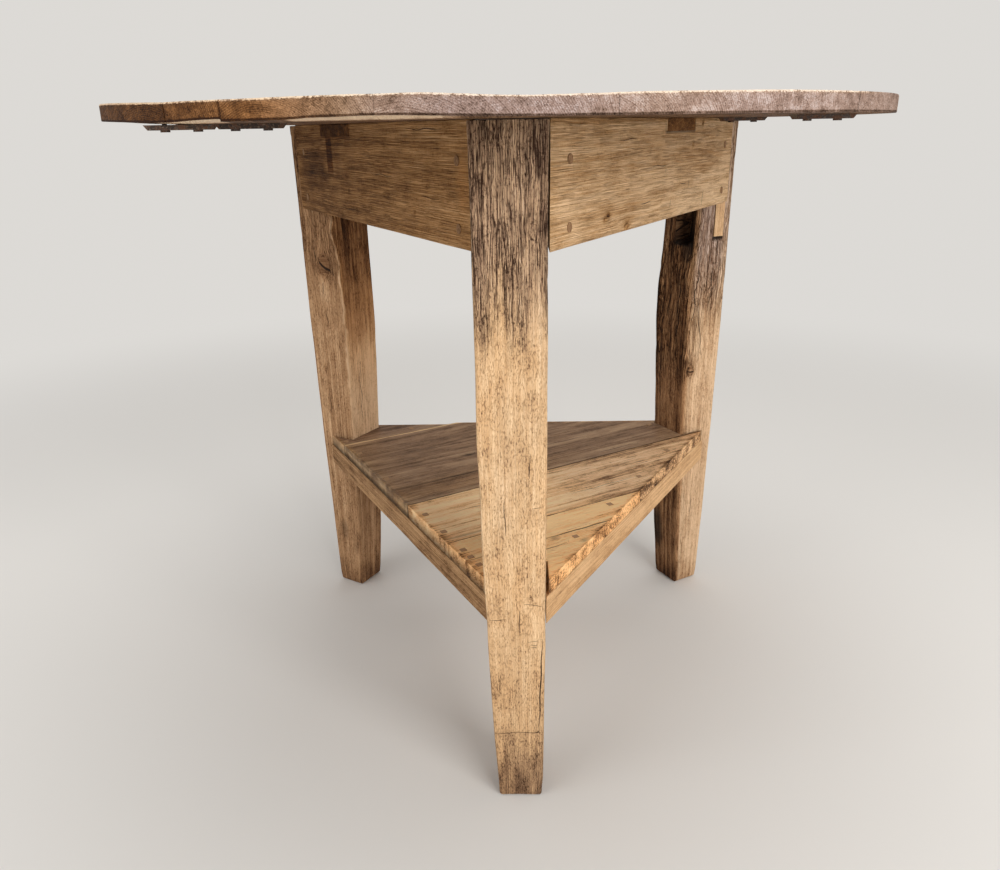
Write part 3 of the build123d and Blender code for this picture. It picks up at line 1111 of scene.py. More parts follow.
def tinted(count: int, **given: Array) -> Tints:
    """Give every tint, with zeros for those that aren't given."""
    return {key: given.get(key, np.zeros(count)) * np.ones(count) for key in TINTS}


@dataclass
class Leg:
    """One leg. Its own axes are X across it, Y outwards and Z up."""

    node: str
    facing: float
    seed: int
    finish: Finish
    slot: str
    frame: TableFrame = field(default_factory=TableFrame)
    foot_shift: float = 0.0
    steps: Sequence[float] = (1.4, 1.4, 3.6)
    arris: float = 3.0

    def push(self, p: Array) -> Array:
        """How far the worn surface lies in or out at each grid point.

        Args:
            p: The grid points.

        Returns:
            The distance out, in millimetres.
        """
        wave = 0.9 * ripple(p, (60, 60, 130), self.seed, 2) - 0.6
        furrows = np.abs(ripple(p, (3.2, 3.2, 90), self.seed + 5, 2))
        return wave - self.weather(p) * 1.1 * fade(furrows, 0.30, 0)

    def weather(self, p: Array) -> Array:
        """How deeply the wood is furrowed at each grid point."""
        return np.zeros(len(p))

    def edges(self, z: Array) -> tuple[Array, Array]:
        """Left and right side of the leg at each height.

        Args:
            z: Heights, in millimetres.

        Returns:
            The places of both sides across the leg.
        """
        width, _, _ = self.frame.leg_at(z)
        shift = self.foot_shift - self.foot_shift * z / self.frame.height
        return shift - width / 2, shift + width / 2

    def carve(self, p: Array, worn: Array) -> Array:
        """Change the eased points further."""
        return worn

    def rounding(self, p: Array) -> Array:
        """Radius that wear adds to the arrises at each grid point."""
        return np.zeros(len(p))

    def knots(self, p: Array) -> list[tuple[Array, Knot]]:
        """List the knots, each with the points of its face."""
        return []

    def cracks(self, p: Array) -> list[Array]:
        """Read the cracks at each grid point."""
        return []

    def tints(self, p: Array) -> Tints:
        """Stains and wear at each grid point."""
        return tinted(len(p), weather=self.weather(p))

    def make(self, palette: Palette) -> Piece:
        """Build the leg.

        Args:
            palette: The finishes.

        Returns:
            The leg's object.
        """
        f = self.frame
        half_width, half_depth = f.leg_width / 2, f.leg_depth / 2
        spans = ((-half_width, half_width), (-half_depth, half_depth), (0, f.height))
        block = Block(spans, self.steps, self.arris)
        p = block.points
        radius = 2.6 + 1.1 * ripple(p, (40, 40, 45), self.seed + 9, 2) + self.rounding(p)
        radius = np.maximum(radius, 5.0 * fade(p[:, 2], 26, 4))
        radius = np.where(p[:, 2] > f.height - 12.0, 1.2, radius)
        worn = self.carve(p, block.eased(np.clip(radius, 1, 13), self.push(p)))
        z = np.clip(worn[:, 2], 0, f.height)
        _, depth, face = f.leg_at(z)
        left, right = self.edges(z)
        x = (left + right) / 2 + worn[:, 0] * (right - left) / f.leg_width
        y = face - depth / 2 + worn[:, 1] * depth / f.leg_depth
        points = np.stack([x, y, z], axis=1)
        across, tints = p[:, 1].copy(), self.tints(p)
        for face_points, knot in self.knots(p):
            across = np.where(face_points, knot.bent(across, p[:, 2]), across)
            tints["tone"] += face_points * knot.tone(p[:, 1], p[:, 2])
        heart = np.stack([p[:, 0] + 21.0 + self.seed, across - 52.0, p[:, 2] + 300.0 * self.seed], axis=1)
        cracks = self.cracks(p) + [knot.split(p[:, 1], p[:, 2], face) for face, knot in self.knots(p)]
        tints["edge"] = 0.75 * block.near_arris(4.5)
        surface = Surface(f.side_axes(self.facing).place(points), block.faces, heart, tints, cracks)
        return put(f"{self.node}_wood", surface, palette.get(self.finish), self.node)


@dataclass
class FrontLeg(Leg):
    """The leg nearest the eye: furrowed and dark above, fading to pale straw below."""

    profile: Sequence[tuple[float, float, float]] = (
        (0, -23.4, 25), (11, -23.7, 25.2), (26, -24.3, 26.4), (54, -26, 26.9), (82, -27.7, 27.2),
        (109, -28.9, 27.5), (161, -30.9, 28.3), (199, -32.4, 29.1), (235, -32.9, 28.8), (271, -34.4, 28.9),
        (317, -36.2, 29.4), (371, -36.3, 29.5), (423, -38.4, 29.8), (520, -37.9, 29.9), (608, -38.1, 29.5),
        (713, -39, 30.1),
    )

    def edges(self, z: Array) -> tuple[Array, Array]:
        """Left and right side of the leg at each height."""
        return read_rows(self.profile, z), read_rows(self.profile, z, 2)

    def weather(self, p: Array) -> Array:
        """Furrows that fade out below the aprons."""
        edge = 566.0 + 40.0 * ripple(p, (9, 9, 400), self.seed + 3, 2)
        return np.clip(fade(p[:, 2], edge - 80.0, edge + 60.0) + 0.12, 0, 1)

    def tints(self, p: Array) -> Tints:
        """Dark above, pale straw below, with a scribed line and a dirty foot.

        Args:
            p: The grid points.

        Returns:
            The tints.
        """
        z = p[:, 2]
        aged = self.weather(p)
        tone = 0.27 - 0.26 * aged - 0.06 * fade(z, 600, 713)
        tone += 0.10 * patch(p[:, 0], z, (4, 640), (26, 70))
        tone -= 0.10 * fade(np.abs(p[:, 0]), 16, 33) * fade(z, 440, 540)
        tone += 0.10 * ripple(p, (22, 22, 60), self.seed + 1, 3)
        tone -= 0.18 * fade(z, 250, 120) + 0.60 * fade(z, 110, 10)
        tone -= 0.10 * band(z, 89, 5, 1) * (p[:, 1] > 20.0)
        warm = -0.44 * aged + 0.08 + 0.14 * ripple(p, (30, 30, 90), self.seed + 7, 2)
        return tinted(len(p), tone=tone, warm=warm, weather=0.9 * aged)

    def cracks(self, p: Array) -> list[Array]:
        """A long shake by the right arris, a scribed line over the foot and small dents.

        Args:
            p: The grid points.

        Returns:
            What each crack reads.
        """
        x, y, z = p.T
        face = (y > 30.0) * 1.0
        lines = [
            Crack(28.5, 92, 208, 0.75, 0.02, 0.5), Crack(25, 120, 150, 0.35), Crack(-9, 330, 372, 0.4),
            Crack(4, 214, 246, 0.35), Crack(17, 392, 418, 0.35), Crack(-22, 140, 166, 0.35),
        ]
        cuts_across = [
            Crack(89.5, -33, 33, 0.55, 0.01, 0.4, 0.42), Crack(234, -30, -12, 0.28, 0.05, 0.7, 0.5),
            Crack(251, 9, 30, 0.28, -0.08, 0.7, 0.5), Crack(207, 12, 29, 0.3, 0.2, 0.7, 0.45),
            Crack(199, 16, 31, 0.25, -0.12, 0.7, 0.5), Crack(361, 18, 29, 0.25, 0, 0.7, 0.45),
        ]
        return [line.read(x, z, face) for line in lines] + [cut.read(z, x, face) for cut in cuts_across]


@dataclass
class BackLeg(Leg):
    """A back leg, whose side face and inner face both show."""

    hand: float = 1.0
    face_from: float = 30.0
    side_knots: Sequence[Knot] = ()
    side_cracks: Sequence[Crack] = ()
    inner_cracks: Sequence[Crack] = ()

    def faces(self, p: Array) -> tuple[Array, Array]:
        """Give 1 for the points of the side face and of the inner face, else 0."""
        return (self.hand * p[:, 0] > self.face_from) * 1.0, (p[:, 1] < -self.face_from) * 1.0

    def knots(self, p: Array) -> list[tuple[Array, Knot]]:
        """List the knots of the side face, each with the points of that face."""
        return [(self.faces(p)[0], knot) for knot in self.side_knots]

    def cracks(self, p: Array) -> list[Array]:
        """Read the cracks of the side face and of the inner face at each grid point.

        Args:
            p: The grid points.

        Returns:
            What each crack reads.
        """
        x, y, z = p.T
        side, inner = self.faces(p)
        lines = [crack.read(y, z, side) for crack in self.side_cracks]
        return lines + [crack.read(x, z, inner) for crack in self.inner_cracks]


@dataclass
class LeftLeg(BackLeg):
    """The back left leg: brown above, paler below, with a cracked knot."""

    side_knots: Sequence[Knot] = (Knot(-4, 527, 18, 0.24, 2, -0.50), Knot(12, 372, 5, 0.3))
    side_cracks: Sequence[Crack] = (
        Crack(11, 533, 553, 0.7, 0.1), Crack(2, 485, 501, 0.5), Crack(-1, 440, 462, 0.5, 0.12),
        Crack(10, 300, 340, 0.35), Crack(-19, 512, 524, 0.6, 0.2), Crack(-24, 560, 596, 0.45, -0.1),
    )
    inner_cracks: Sequence[Crack] = (
        Crack(8, 285, 384, 0.45, 0.02, 1.6), Crack(-12, 430, 470, 0.35), Crack(20, 560, 600, 0.5),
    )

    def weather(self, p: Array) -> Array:
        """Light furrows near the top."""
        return 0.35 * fade(p[:, 2], 420, 640) + 0.08

    def line(self, z: Array) -> Array:
        """How far the worn arris wanders onto the side face at each height."""
        line = 9.0 * fade(z, 490, 590) + 2.4 * np.sin(z / 11.0) * fade(z, 430, 520)
        return line + 1.2 * np.sin(z / 5.0) - 0.2

    def rounding(self, p: Array) -> Array:
        """The arris between side and inner face is worn back near the top."""
        return 8.0 * fade(p[:, 0], 12, 30) * fade(p[:, 1], -12, -30) * fade(p[:, 2], 440, 580)

    def tints(self, p: Array) -> Tints:
        """Darker towards the top and on the inner face, with a pale wavy arris between.

        Args:
            p: The grid points.

        Returns:
            The tints.
        """
        x, y, z = p.T
        side, inside = self.faces(p)
        around = np.maximum(y + 34.0, 0) - np.maximum(34.5 - x, 0) * inside
        beyond = around - self.line(z) - 0.8 * ripple(p, (6, 6, 9), self.seed + 8)
        inner = np.where(side, fade(beyond, 0.8, -0.8), inside)
        tone = 0.06 - 0.22 * fade(z, 380, 600) + 0.16 * ripple(p, (28, 28, 80), self.seed, 2)
        tone -= 0.42 * fade(z, 60, 0)
        tone -= inner * (0.18 * fade(z, 410, 560) - 0.56 * fade(z, 440, 380) * fade(z, 200, 240))
        tone -= 0.08 * inner * fade(z, 230, 200)
        ragged = 0.55 + 0.45 * ripple(p, (5, 5, 7), self.seed + 12)
        reach = 3.0 + 2.6 * fade(z, 500, 460)
        bevel = ragged * (x > 22.0) * fade(np.abs(beyond), reach, 1) * fade(z, 330, 380)
        tone += 1.3 * bevel
        tone += 0.30 * side * patch(y, z, (0, 492), (15, 26)) - 0.12 * side * fade(z, 240, 120)
        stain = patch(y, z, (6, 100), (13, 22)) + 0.6 * patch(y, z, (-22, 70), (8, 16))
        warm = (0.10 + 0.42 * inner * fade(z, 300, 480)) * (1.0 - bevel)
        weather = self.weather(p) * (1.0 + 0.2 * inner)
        return tinted(len(p), tone=tone, warm=warm, soot=0.35 * (stain * side), weather=weather)


@dataclass
class RightLeg(BackLeg):
    """The back right leg, of reclaimed timber with a waney, furrowed inner face and old mortises."""

    hand: float = -1.0
    hollow_low: float = 556.0
    hollow_depth: float = 24.0
    pocket_low: float = 554.4
    pocket_depth: float = 3.0
    mortise_high: float = 604.0
    side_knots: Sequence[Knot] = (Knot(-19.5, 366, 9, 0.55, 0.9, 0.2),)
    side_cracks: Sequence[Crack] = (
        Crack(-8, 384, 474, 0.6, -0.18, 1), Crack(8, 455, 520, 0.5, 0.05, 1.2),
        Crack(-20, 430, 540, 0.7, 0.06, 2), Crack(14, 520, 556, 0.5), Crack(0, 110, 160, 0.35),
        Crack(20, 470, 548, 0.4, 0.03),
    )
    inner_cracks: Sequence[Crack] = (
        Crack(-14, 380, 540, 0.8, 0.03, 2), Crack(6, 420, 550, 0.7, -0.02, 2),
        Crack(22, 300, 520, 0.6, 0.01, 1.6),
    )

    def weather(self, p: Array) -> Array:
        """Deep furrows on the inner face, fading below the middle.

        Args:
            p: The grid points.

        Returns:
            How deep they are, from 0 to 1.
        """
        _, y, z = p.T
        inner = fade(y, 6, -30)
        deep = fade(z, 330, 430)
        return np.clip(inner * (0.25 + 0.75 * deep) + 0.75 * fade(z + 0.5 * y, 400, 520) + 0.08, 0, 1)

    def carve(self, p: Array, worn: Array) -> Array:
        """Cut the old mortises and the waney inner arris.

        Args:
            p: The grid points.
            worn: The eased points.

        Returns:
            The carved points.
        """
        x, y, z = p.T
        out = worn.copy()
        inner = y < -33.0
        curved = self.hollow_low - 7.0 * (1.0 - np.clip((x + 12.0) / 17.0, -1, 1) ** 2)
        wane = 5.0 * fade(z, 470, 600) + 2.0 * ripple(p, (30, 200, 60), self.seed + 2, 2)
        out[:, 1] += np.where(y < 0.0, np.maximum(wane, 0) * fade(y, 0, -34), 0)
        hollow = inner & (x > -29.0) & (x < 5.0) & (z > curved) & (z < self.mortise_high)
        out[:, 1] = np.where(hollow, out[:, 1] + self.hollow_depth, out[:, 1])
        pocket = (x < -33.0) & (y > 4.9) & (y < 21.0) & (z > self.pocket_low) & (z < self.mortise_high)
        out[:, 0] = np.where(pocket, out[:, 0] + self.pocket_depth, out[:, 0])
        return out

    def rounding(self, p: Array) -> Array:
        """The arris between side and inner face is waney above the middle.

        Args:
            p: The grid points.

        Returns:
            The radius that wear adds, in millimetres.
        """
        x, y, z = p.T
        wave = 0.7 + 0.5 * np.sin(z / 21.0) * np.sin(z / 9.0 + 1.0)
        return 8.0 * wave * fade(x, -12, -30) * fade(y, -12, -30) * fade(z, 380, 500)

    def tints(self, p: Array) -> Tints:
        """Purple-grey above, pale below, with painted shade that makes the hollows of the inner face nearly
        black.

        Args:
            p: The grid points.

        Returns:
            The tints.
        """
        x, y, z = p.T
        side, inside = self.faces(p)
        inner = fade(y + 1.2 * ripple(p, (9, 9, 26), self.seed + 4), -20, -33)
        tone = 0.50 - 0.20 * fade(z + 0.5 * y, 400, 530)
        tone += 0.14 * ripple(p, (22, 22, 90), self.seed, 2)
        tone -= 0.40 * fade(z, 50, 0)
        worn = 0.20 * fade(x, 4, 30) * fade(z, 440, 560)
        tone -= inner * (0.86 - 0.28 * fade(z, 420, 520) - worn)
        tone += 0.26 * side * fade(y, 14, 29) + 0.10 * side * fade(z, 460, 520)
        streak = fade(np.abs(x + 25.0 - 4.0 * np.sin(z / 16.0)), 2.6, 0.6)
        tone += 0.35 * streak * (y < -28.0) * fade(z, 440, 500)
        grey = fade(z, 430, 560) * (1.0 - inner)
        warm = -0.75 * grey * (1.0 - 0.6 * fade(y, 14, 29)) + 0.25 * inner
        # Painted shade: the mortise hollow and the side pocket are blackened, the hollow most towards the
        # side face.
        under_lip = z < self.mortise_high + 2.0
        hollow = inside * (x > -31.0) * (x < 7.0) * (z > self.hollow_low - 9.0) * under_lip
        pocket = (x < -33.0) & (y > 4.0) & (y < 22.0) & (z > self.pocket_low - 1.5) & under_lip
        low = inside * patch(x, z, (25, 88), (25, 52)) * 0.80
        dark = 0.66 + 0.30 * fade(x + 0.35 * (z - 580.0), 4, -12)
        below = 0.75 * (y < -28.0) * patch(x, z, (-22, 546), (15, 34))
        soot = np.maximum(np.maximum(hollow * dark, pocket * 0.9), np.maximum(low, below))
        return tinted(len(p), tone=tone, warm=warm, soot=soot, weather=self.weather(p))


@dataclass
class Rail:
    """An apron or stretcher. Its own axes are X along it, Y outwards and Z up.

    Knots, shakes along the grain and nicks across it lie on the outer face.
    """

    node: str
    facing: float
    seed: int
    distance: float
    thickness: float
    low: float
    high: float
    finish: Finish
    slot: str
    frame: TableFrame = field(default_factory=TableFrame)
    tint: float = 0.0
    warmth: float = 0.0
    grow_low: float = 0.0
    knots: Sequence[Knot] = ()
    shakes: Sequence[Crack] = ()
    nicks: Sequence[Crack] = ()
    steps: Sequence[float] = (3.6, 3, 1.6)
    arris: float = 1.6
    skin: float = 4.0

    def outer(self, p: Array) -> Array:
        """Which grid points lie on the outer face."""
        return p[:, 1] > self.distance - self.skin

    def reach(self, y: Array) -> Array:
        """Half the rail's length at a distance from the frame's axis, into the legs a little."""
        width, _, _ = self.frame.leg_at(np.array([self.low]))
        return math.sqrt(3) * y - width[0] + 3.0

    def tints(self, p: Array) -> Tints:
        """Stains and wear at each grid point."""
        tone = self.tint + 0.15 * ripple(p, (90, 40, 22), self.seed, 3)
        return tinted(len(p), tone=tone, warm=np.full(len(p), self.warmth))

    def make(self, palette: Palette) -> Piece:
        """Build the rail.

        Args:
            palette: The finishes.

        Returns:
            The rail's object.
        """
        middle = float(self.reach(np.array([self.distance]))[0])
        spans = ((-middle, middle), (self.distance - self.thickness, self.distance), (self.low, self.high))
        block = Block(spans, self.steps, self.arris)
        p = block.points
        radius = np.clip(1.3 + 0.6 * ripple(p, (60, 30, 30), self.seed + 2, 2), 0.7, 1.6)
        push = 0.35 * ripple(p, (120, 60, 45), self.seed + 4, 2) - 0.4
        push += 0.12 * ripple(p, (60, 3, 3), self.seed + 6, 2)
        worn = block.eased(radius, push)
        share = worn[:, 0] / middle
        x = share * self.reach(worn[:, 1]) - self.grow_low * fade(share, 0, -1)
        points = np.stack([x, worn[:, 1], worn[:, 2]], axis=1)
        across, tints = p[:, 2].copy(), self.tints(p)
        face = self.outer(p)
        for knot in self.knots:
            across = np.where(face, knot.bent(across, p[:, 0]), across)
            tints["tone"] += face * knot.tone(p[:, 2], p[:, 0])
        depth, along = p[:, 1] - self.distance - 60.0, p[:, 0] + 500.0 * self.seed
        heart = np.stack([across - self.low - 40.0 - 7 * self.seed, depth, along], axis=1)
        cracks = [knot.split(p[:, 2], p[:, 0], face * 1.0) for knot in self.knots]
        cracks += [line.read(p[:, 2], p[:, 0], face * 1.0) for line in self.shakes]
        cracks += [nick.read(p[:, 0], p[:, 2], face * 1.0) for nick in self.nicks]
        tints["edge"] = 0.6 * block.near_arris(3)
        surface = Surface(self.frame.side_axes(self.facing).place(points), block.faces, heart, tints, cracks)
        return put(f"{self.node}_wood", surface, palette.get(self.finish), self.node)


@dataclass
class RightApron(Rail):
    """The apron on the right, where the cleat's end, knots and a worn band show."""

    knots: Sequence[Knot] = (
        Knot(624, -142, 2.8, 1), Knot(621, -150, 2.6, 0.8), Knot(608, -96, 6.5, 0.62),
        Knot(707, 134, 2.4, 0.9, 1), Knot(684, 101, 2.6, 0.35), Knot(680, -170, 2, 0.3),
        Knot(655, -60, 1.8, 0.3),
    )
    shakes: Sequence[Crack] = (
        Crack(664, -30, 18, 0.3), Crack(693, -120, -76, 0.3), Crack(641, 60, 84, 0.3),
        Crack(628, -60, -30, 0.3),
    )
    nicks: Sequence[Crack] = (
        Crack(150, 608, 628, 0.55, 0.1), Crack(31, 616, 626, 0.45), Crack(92, 634, 646, 0.4),
        Crack(-38, 676, 684, 0.35, 0.1), Crack(9, 655, 663, 0.3), Crack(-118, 690, 697, 0.3),
    )

    def tints(self, p: Array) -> Tints:
        """The line around the cleat's end, the paler band under a slanted line and painted shade along the
        top.

        Args:
            p: The grid points.

        Returns:
            The tints.
        """
        x, _, z = p.T
        face = self.outer(p)
        tone = 0.34 + 0.14 * ripple(p, (90, 40, 16), self.seed, 3)
        line = 630.0 + (x - 20.0) * 0.152 + 5.0 * ripple(p, (60, 60, 60), self.seed + 1, 2)
        tone += 0.26 * fade(z, line + 2.5, line - 5.0) * face * fade(x, -190, 60)
        tone -= 0.20 * patch(x, z, (140, 668), (130, 24)) * face
        tone += 0.14 * patch(x, z, (-225, 650), (40, 60)) * face
        # Painted shade along the top of the outer face, under the tabletop.
        tone -= 0.30 * fade(z, 706, 713) * face
        outside = np.maximum(np.abs(x - 55.5) - 49.0, 700.0 - z)
        around = band(outside, 1.2, 2.4, 0.4)
        return tinted(len(p), tone=tone, warm=0.20 * face, soot=face * 0.75 * around)


@dataclass
class LeftApron(Rail):
    """The apron on the left: darker through painted shade, with a stain that has run down from the cleat."""

    knots: Sequence[Knot] = (
        Knot(628, 132, 2.4, 0.4), Knot(690, 60, 2, 0.3), Knot(640, -60, 2, 0.3), Knot(655, 165, 2.2, 0.3),
    )
    shakes: Sequence[Crack] = (
        Crack(661, 20, 76, 0.3), Crack(618, -90, -20, 0.35), Crack(706, 120, 200, 0.35),
        Crack(645, 150, 190, 0.3),
    )

    def tints(self, p: Array) -> Tints:
        """Painted shade over the whole apron, the run-down stain, dark patches and a yellow front end.

        Args:
            p: The grid points.

        Returns:
            The tints.
        """
        x, _, z = p.T
        face = self.outer(p)
        # Painted shade: the apron's tone starts far below the right apron's, lightening towards the front
        # end.
        tone = -0.38 + 0.31 * fade(x, -120, 240) + 0.13 * ripple(p, (90, 40, 18), self.seed, 3)
        edge = 3.0 * ripple(p, (14, 40, 9), self.seed + 1, 2)
        stain = fade(z, 696.0 + edge, 702.0 + edge) * band(x, -98, 56, 48)
        run = band(x, -124, 13, 8) * fade(z, 652.0 + 2 * edge, 664)
        dark = 0.25 * patch(x, z, (-190, 660), (80, 40))
        gold = patch(x, z, (242, 662), (16, 34)) * face
        tone = tone - face * (0.62 * np.maximum(stain, 0.8 * run) + dark)
        warm = 0.35 + 0.25 * gold + 0.65 * face * np.maximum(stain, run)
        return tinted(len(p), tone=tone + 0.1 * gold, warm=warm)


@dataclass
class Cleat:
    """The batten under the top."""

    frame: TableFrame = field(default_factory=TableFrame)
    width: float = 86.0
    thickness: float = 14.0
    skew: float = 5.2
    forward: float = 29.0
    proud: float = 0.25
    half_length: float = 210.0
    steps: Sequence[float] = (8, 3, 2.5)

    def make(self, palette: Palette) -> Piece:
        """Build the cleat between both aprons' outer faces, a hair proud of them.

        Args:
            palette: The finishes.

        Returns:
            The cleat's object.
        """
        f = self.frame
        turn = math.radians(-self.skew)
        along, across = (math.cos(turn), math.sin(turn), 0), (-math.sin(turn), math.cos(turn), 0)
        axes = Axes((f.offset, -self.forward, 0), along, across)
        half, reach = self.width / 2, self.half_length
        spans = ((-reach, reach), (-half, half), (f.height - self.thickness, f.height))
        block = Block(spans, self.steps, arris=1.0)
        p = block.points
        worn = block.eased(np.full(len(p), 0.8), -0.25 + 0.2 * ripple(p, (80, 20, 20), 71, 2))
        base = np.array(axes.origin[:2])[None, :] + worn[:, 1:2] * np.array(axes.y[:2])[None, :]
        direction = np.array(axes.x[:2])
        ends = []
        for facing in (LEFT_SIDE, RIGHT_SIDE):
            out = np.array(f.side_axes(facing).y[:2])
            start = np.array([f.offset, 0.0]) + out * (f.apron_distance + self.proud)
            ends.append(((start - base) @ out) / float(direction @ out))
        share = (worn[:, 0] + reach) / (2.0 * reach)
        x = ends[0] + share * (ends[1] - ends[0])
        points = axes.place(np.stack([x, worn[:, 1], worn[:, 2]], axis=1))
        heart = np.stack([p[:, 1] + 12.0, p[:, 2] - f.height - 30.0, p[:, 0] + 900.0], axis=1)
        end = fade(np.abs(p[:, 0]), 150, 209)
        tone = -0.15 - 0.30 * end - 0.40 * end * (p[:, 0] < 0.0) + 0.1 * ripple(p, (40, 20, 20), 73, 2)
        surface = Surface(points, block.faces, heart, tinted(len(p), tone=tone, warm=0.7 * end))
        return put("top_cleat_wood", surface, palette.get(Finish.APRON), "top_cleat")


@dataclass(frozen=True)
class BoardLook:
    """How one board of the top or shelf differs from its neighbours."""

    tone: float
    warm: float
    heart: tuple[float, float]


@dataclass
class RoundTop:
    """The round top of six boards that run from front to back."""

    frame: TableFrame = field(default_factory=TableFrame)
    radius: float = 431.8
    thickness: float = 16.5
    gap: float = 0.1
    rise: float = 6.1
    worn_end: float = 4.0
    joints: Sequence[float] = (-263.09, -206.06, -81.22, 92.02, 304.99)
    upper: Sequence[tuple[float, float]] = (
        (-432, 0), (-263, 0.3), (-177, 0.4), (-98, 0.8), (-83, 0.6), (-61, 0.9), (-47, 0.9), (-26, 0.1),
        (8, -1.6), (29, -2), (78, -1.3), (114, -0.6), (192, 0), (237, 0.3), (432, 0.3),
    )
    lower: Sequence[tuple[float, float]] = (
        (-432, 0.4), (-283, 0.7), (-225, 2.8), (-206.3, 2.9), (-205.9, 1), (-150, 1.2), (-132, 2.2), (-88, 3),
        (-62, 2.7), (-13, 1.2), (50, 0.2), (150, 0.2), (432, 0.4),
    )
    rim_tone: Sequence[tuple[float, float]] = (
        (-432, -0.84), (-263, -0.74), (-206, -0.42), (-150, -0.32), (-110, -0.19), (-60, -0.06), (0, -0.03),
        (92, -0.01), (200, 0.12), (270, 0.04), (305, -0.12), (432, -0.24),
    )
    rim_warm: Sequence[tuple[float, float]] = (
        (-432, 1), (-180, 1), (-150, 0.6), (-110, 0.1), (-81, -0.4), (-30, -0.8), (60, -0.75), (120, -0.5),
        (200, -0.7), (432, -0.5),
    )
    looks: Sequence[BoardLook] = (
        BoardLook(-0.34, 0.30, (-300, -45)),
        BoardLook(-0.16, 0.40, (-345, -25)),
        BoardLook(-0.22, 0.30, (-185, -38)),
        BoardLook(-0.06, 0.10, (-75, -62)),
        BoardLook(-0.20, 0.20, (50, -48)),
        BoardLook(-0.10, 0.28, (250, -40)),
    )
    knots: Sequence[Knot] = (
        Knot(-34, 96, 9, 0.5, 0.6), Knot(168, -146, 11, 0.55, 0.8, 0.2), Knot(-316, 42, 7, 0.5),
        Knot(-140, -238, 6, 0.45, 0.5), Knot(248, 176, 8, 0.5, 0.6, -0.3), Knot(-236, -96, 5, 0.45),
    )
    shakes: Sequence[Crack] = (
        Crack(-234, -360, -282, 0.5), Crack(-152, -402, -300, 0.7, 0.02), Crack(12, -428, -320, 0.7, -0.01),
        Crack(-22, 250, 428, 0.8, 0.01), Crack(162, -398, -322, 0.6), Crack(212, 190, 372, 0.6, 0.02),
        Crack(-118, 96, 240, 0.45), Crack(344, -240, -140, 0.5), Crack(-336, 70, 190, 0.5),
        Crack(252, -340, -250, 0.45),
    )
    steps: Sequence[float] = (3.2, 7, 2.2)
    arris: float = 2.4

    def sides(self, index: int) -> tuple[float, float]:
        """Left and right side of a board, before the gaps."""
        return (-self.radius, *self.joints)[index], (*self.joints, self.radius)[index]

    def wave(self, x: Array, y: Array, share: Array, rim: Array) -> Array:
        """How far hand work has left the rim above or below true.

        Args:
            x: Place from left to right.
            y: Place from front to back; the back repeats the front the other way round.
            share: 0 at the underside and 1 at the upper face.
            rim: Distance in from the rim.

        Returns:
            Height to add, in millimetres.
        """
        side = np.where(y < 0.0, x, -x)
        up = read_rows(self.upper, side) * share * fade(rim, 150, 10)
        return up + read_rows(self.lower, side) * (1.0 - share) * fade(rim, 30, 5)

    def worn(self, index: int, block: Block, rim_in: Array, joint_in: Array) -> Array:
        """Round the arrises, more at the rim than at the joints, and wear the faces.

        Args:
            index: The board's number from the left, from 0.
            block: Its block.
            rim_in: Distance in from the rim.
            joint_in: Distance in from the joints.

        Returns:
            The moved points, shape (n, 3).
        """
        p = block.points
        share = p[:, 2] / self.thickness
        rim_arris = 1.5 + 0.5 * ripple(p, (30, 30, 30), 101 + index, 2) - 0.5 * fade(share, 0.5, 0)
        near_rim = fade(rim_in, 5, 2.5) * fade(joint_in, 0, 2)
        joint_arris = 0.45 - 0.28 * fade(rim_in, 6, 2) * fade(share, 1, 0.9)
        radius = np.clip(joint_arris + (rim_arris - joint_arris) * near_rim, 0.15, 2.4)
        push = 0.25 * ripple(p, (70, 160, 40), 111 + index, 2) - 0.25 + 0.2 * fade(rim_in, 30, 8)
        push += 0.10 * ripple(p, (4, 90, 4), 121 + index, 2)
        return block.eased(radius, push * fade(joint_in, 0, 3), power=1.5)

    def tilted(self, x: Array, z: Array, low: float, high: float) -> tuple[Array, Array]:
        """Raise the outer end of the left board.

        Args:
            x: Place from left to right.
            z: Height over the underside.
            low: Left side of the board.
            high: Its joint, where it stays down.

        Returns:
            The new places and heights.
        """
        tilt = math.asin(self.rise / (high - low))
        over, up = x - high, z - self.thickness
        x = high + over * math.cos(tilt) + up * math.sin(tilt)
        return x, self.thickness - over * math.sin(tilt) + up * math.cos(tilt)

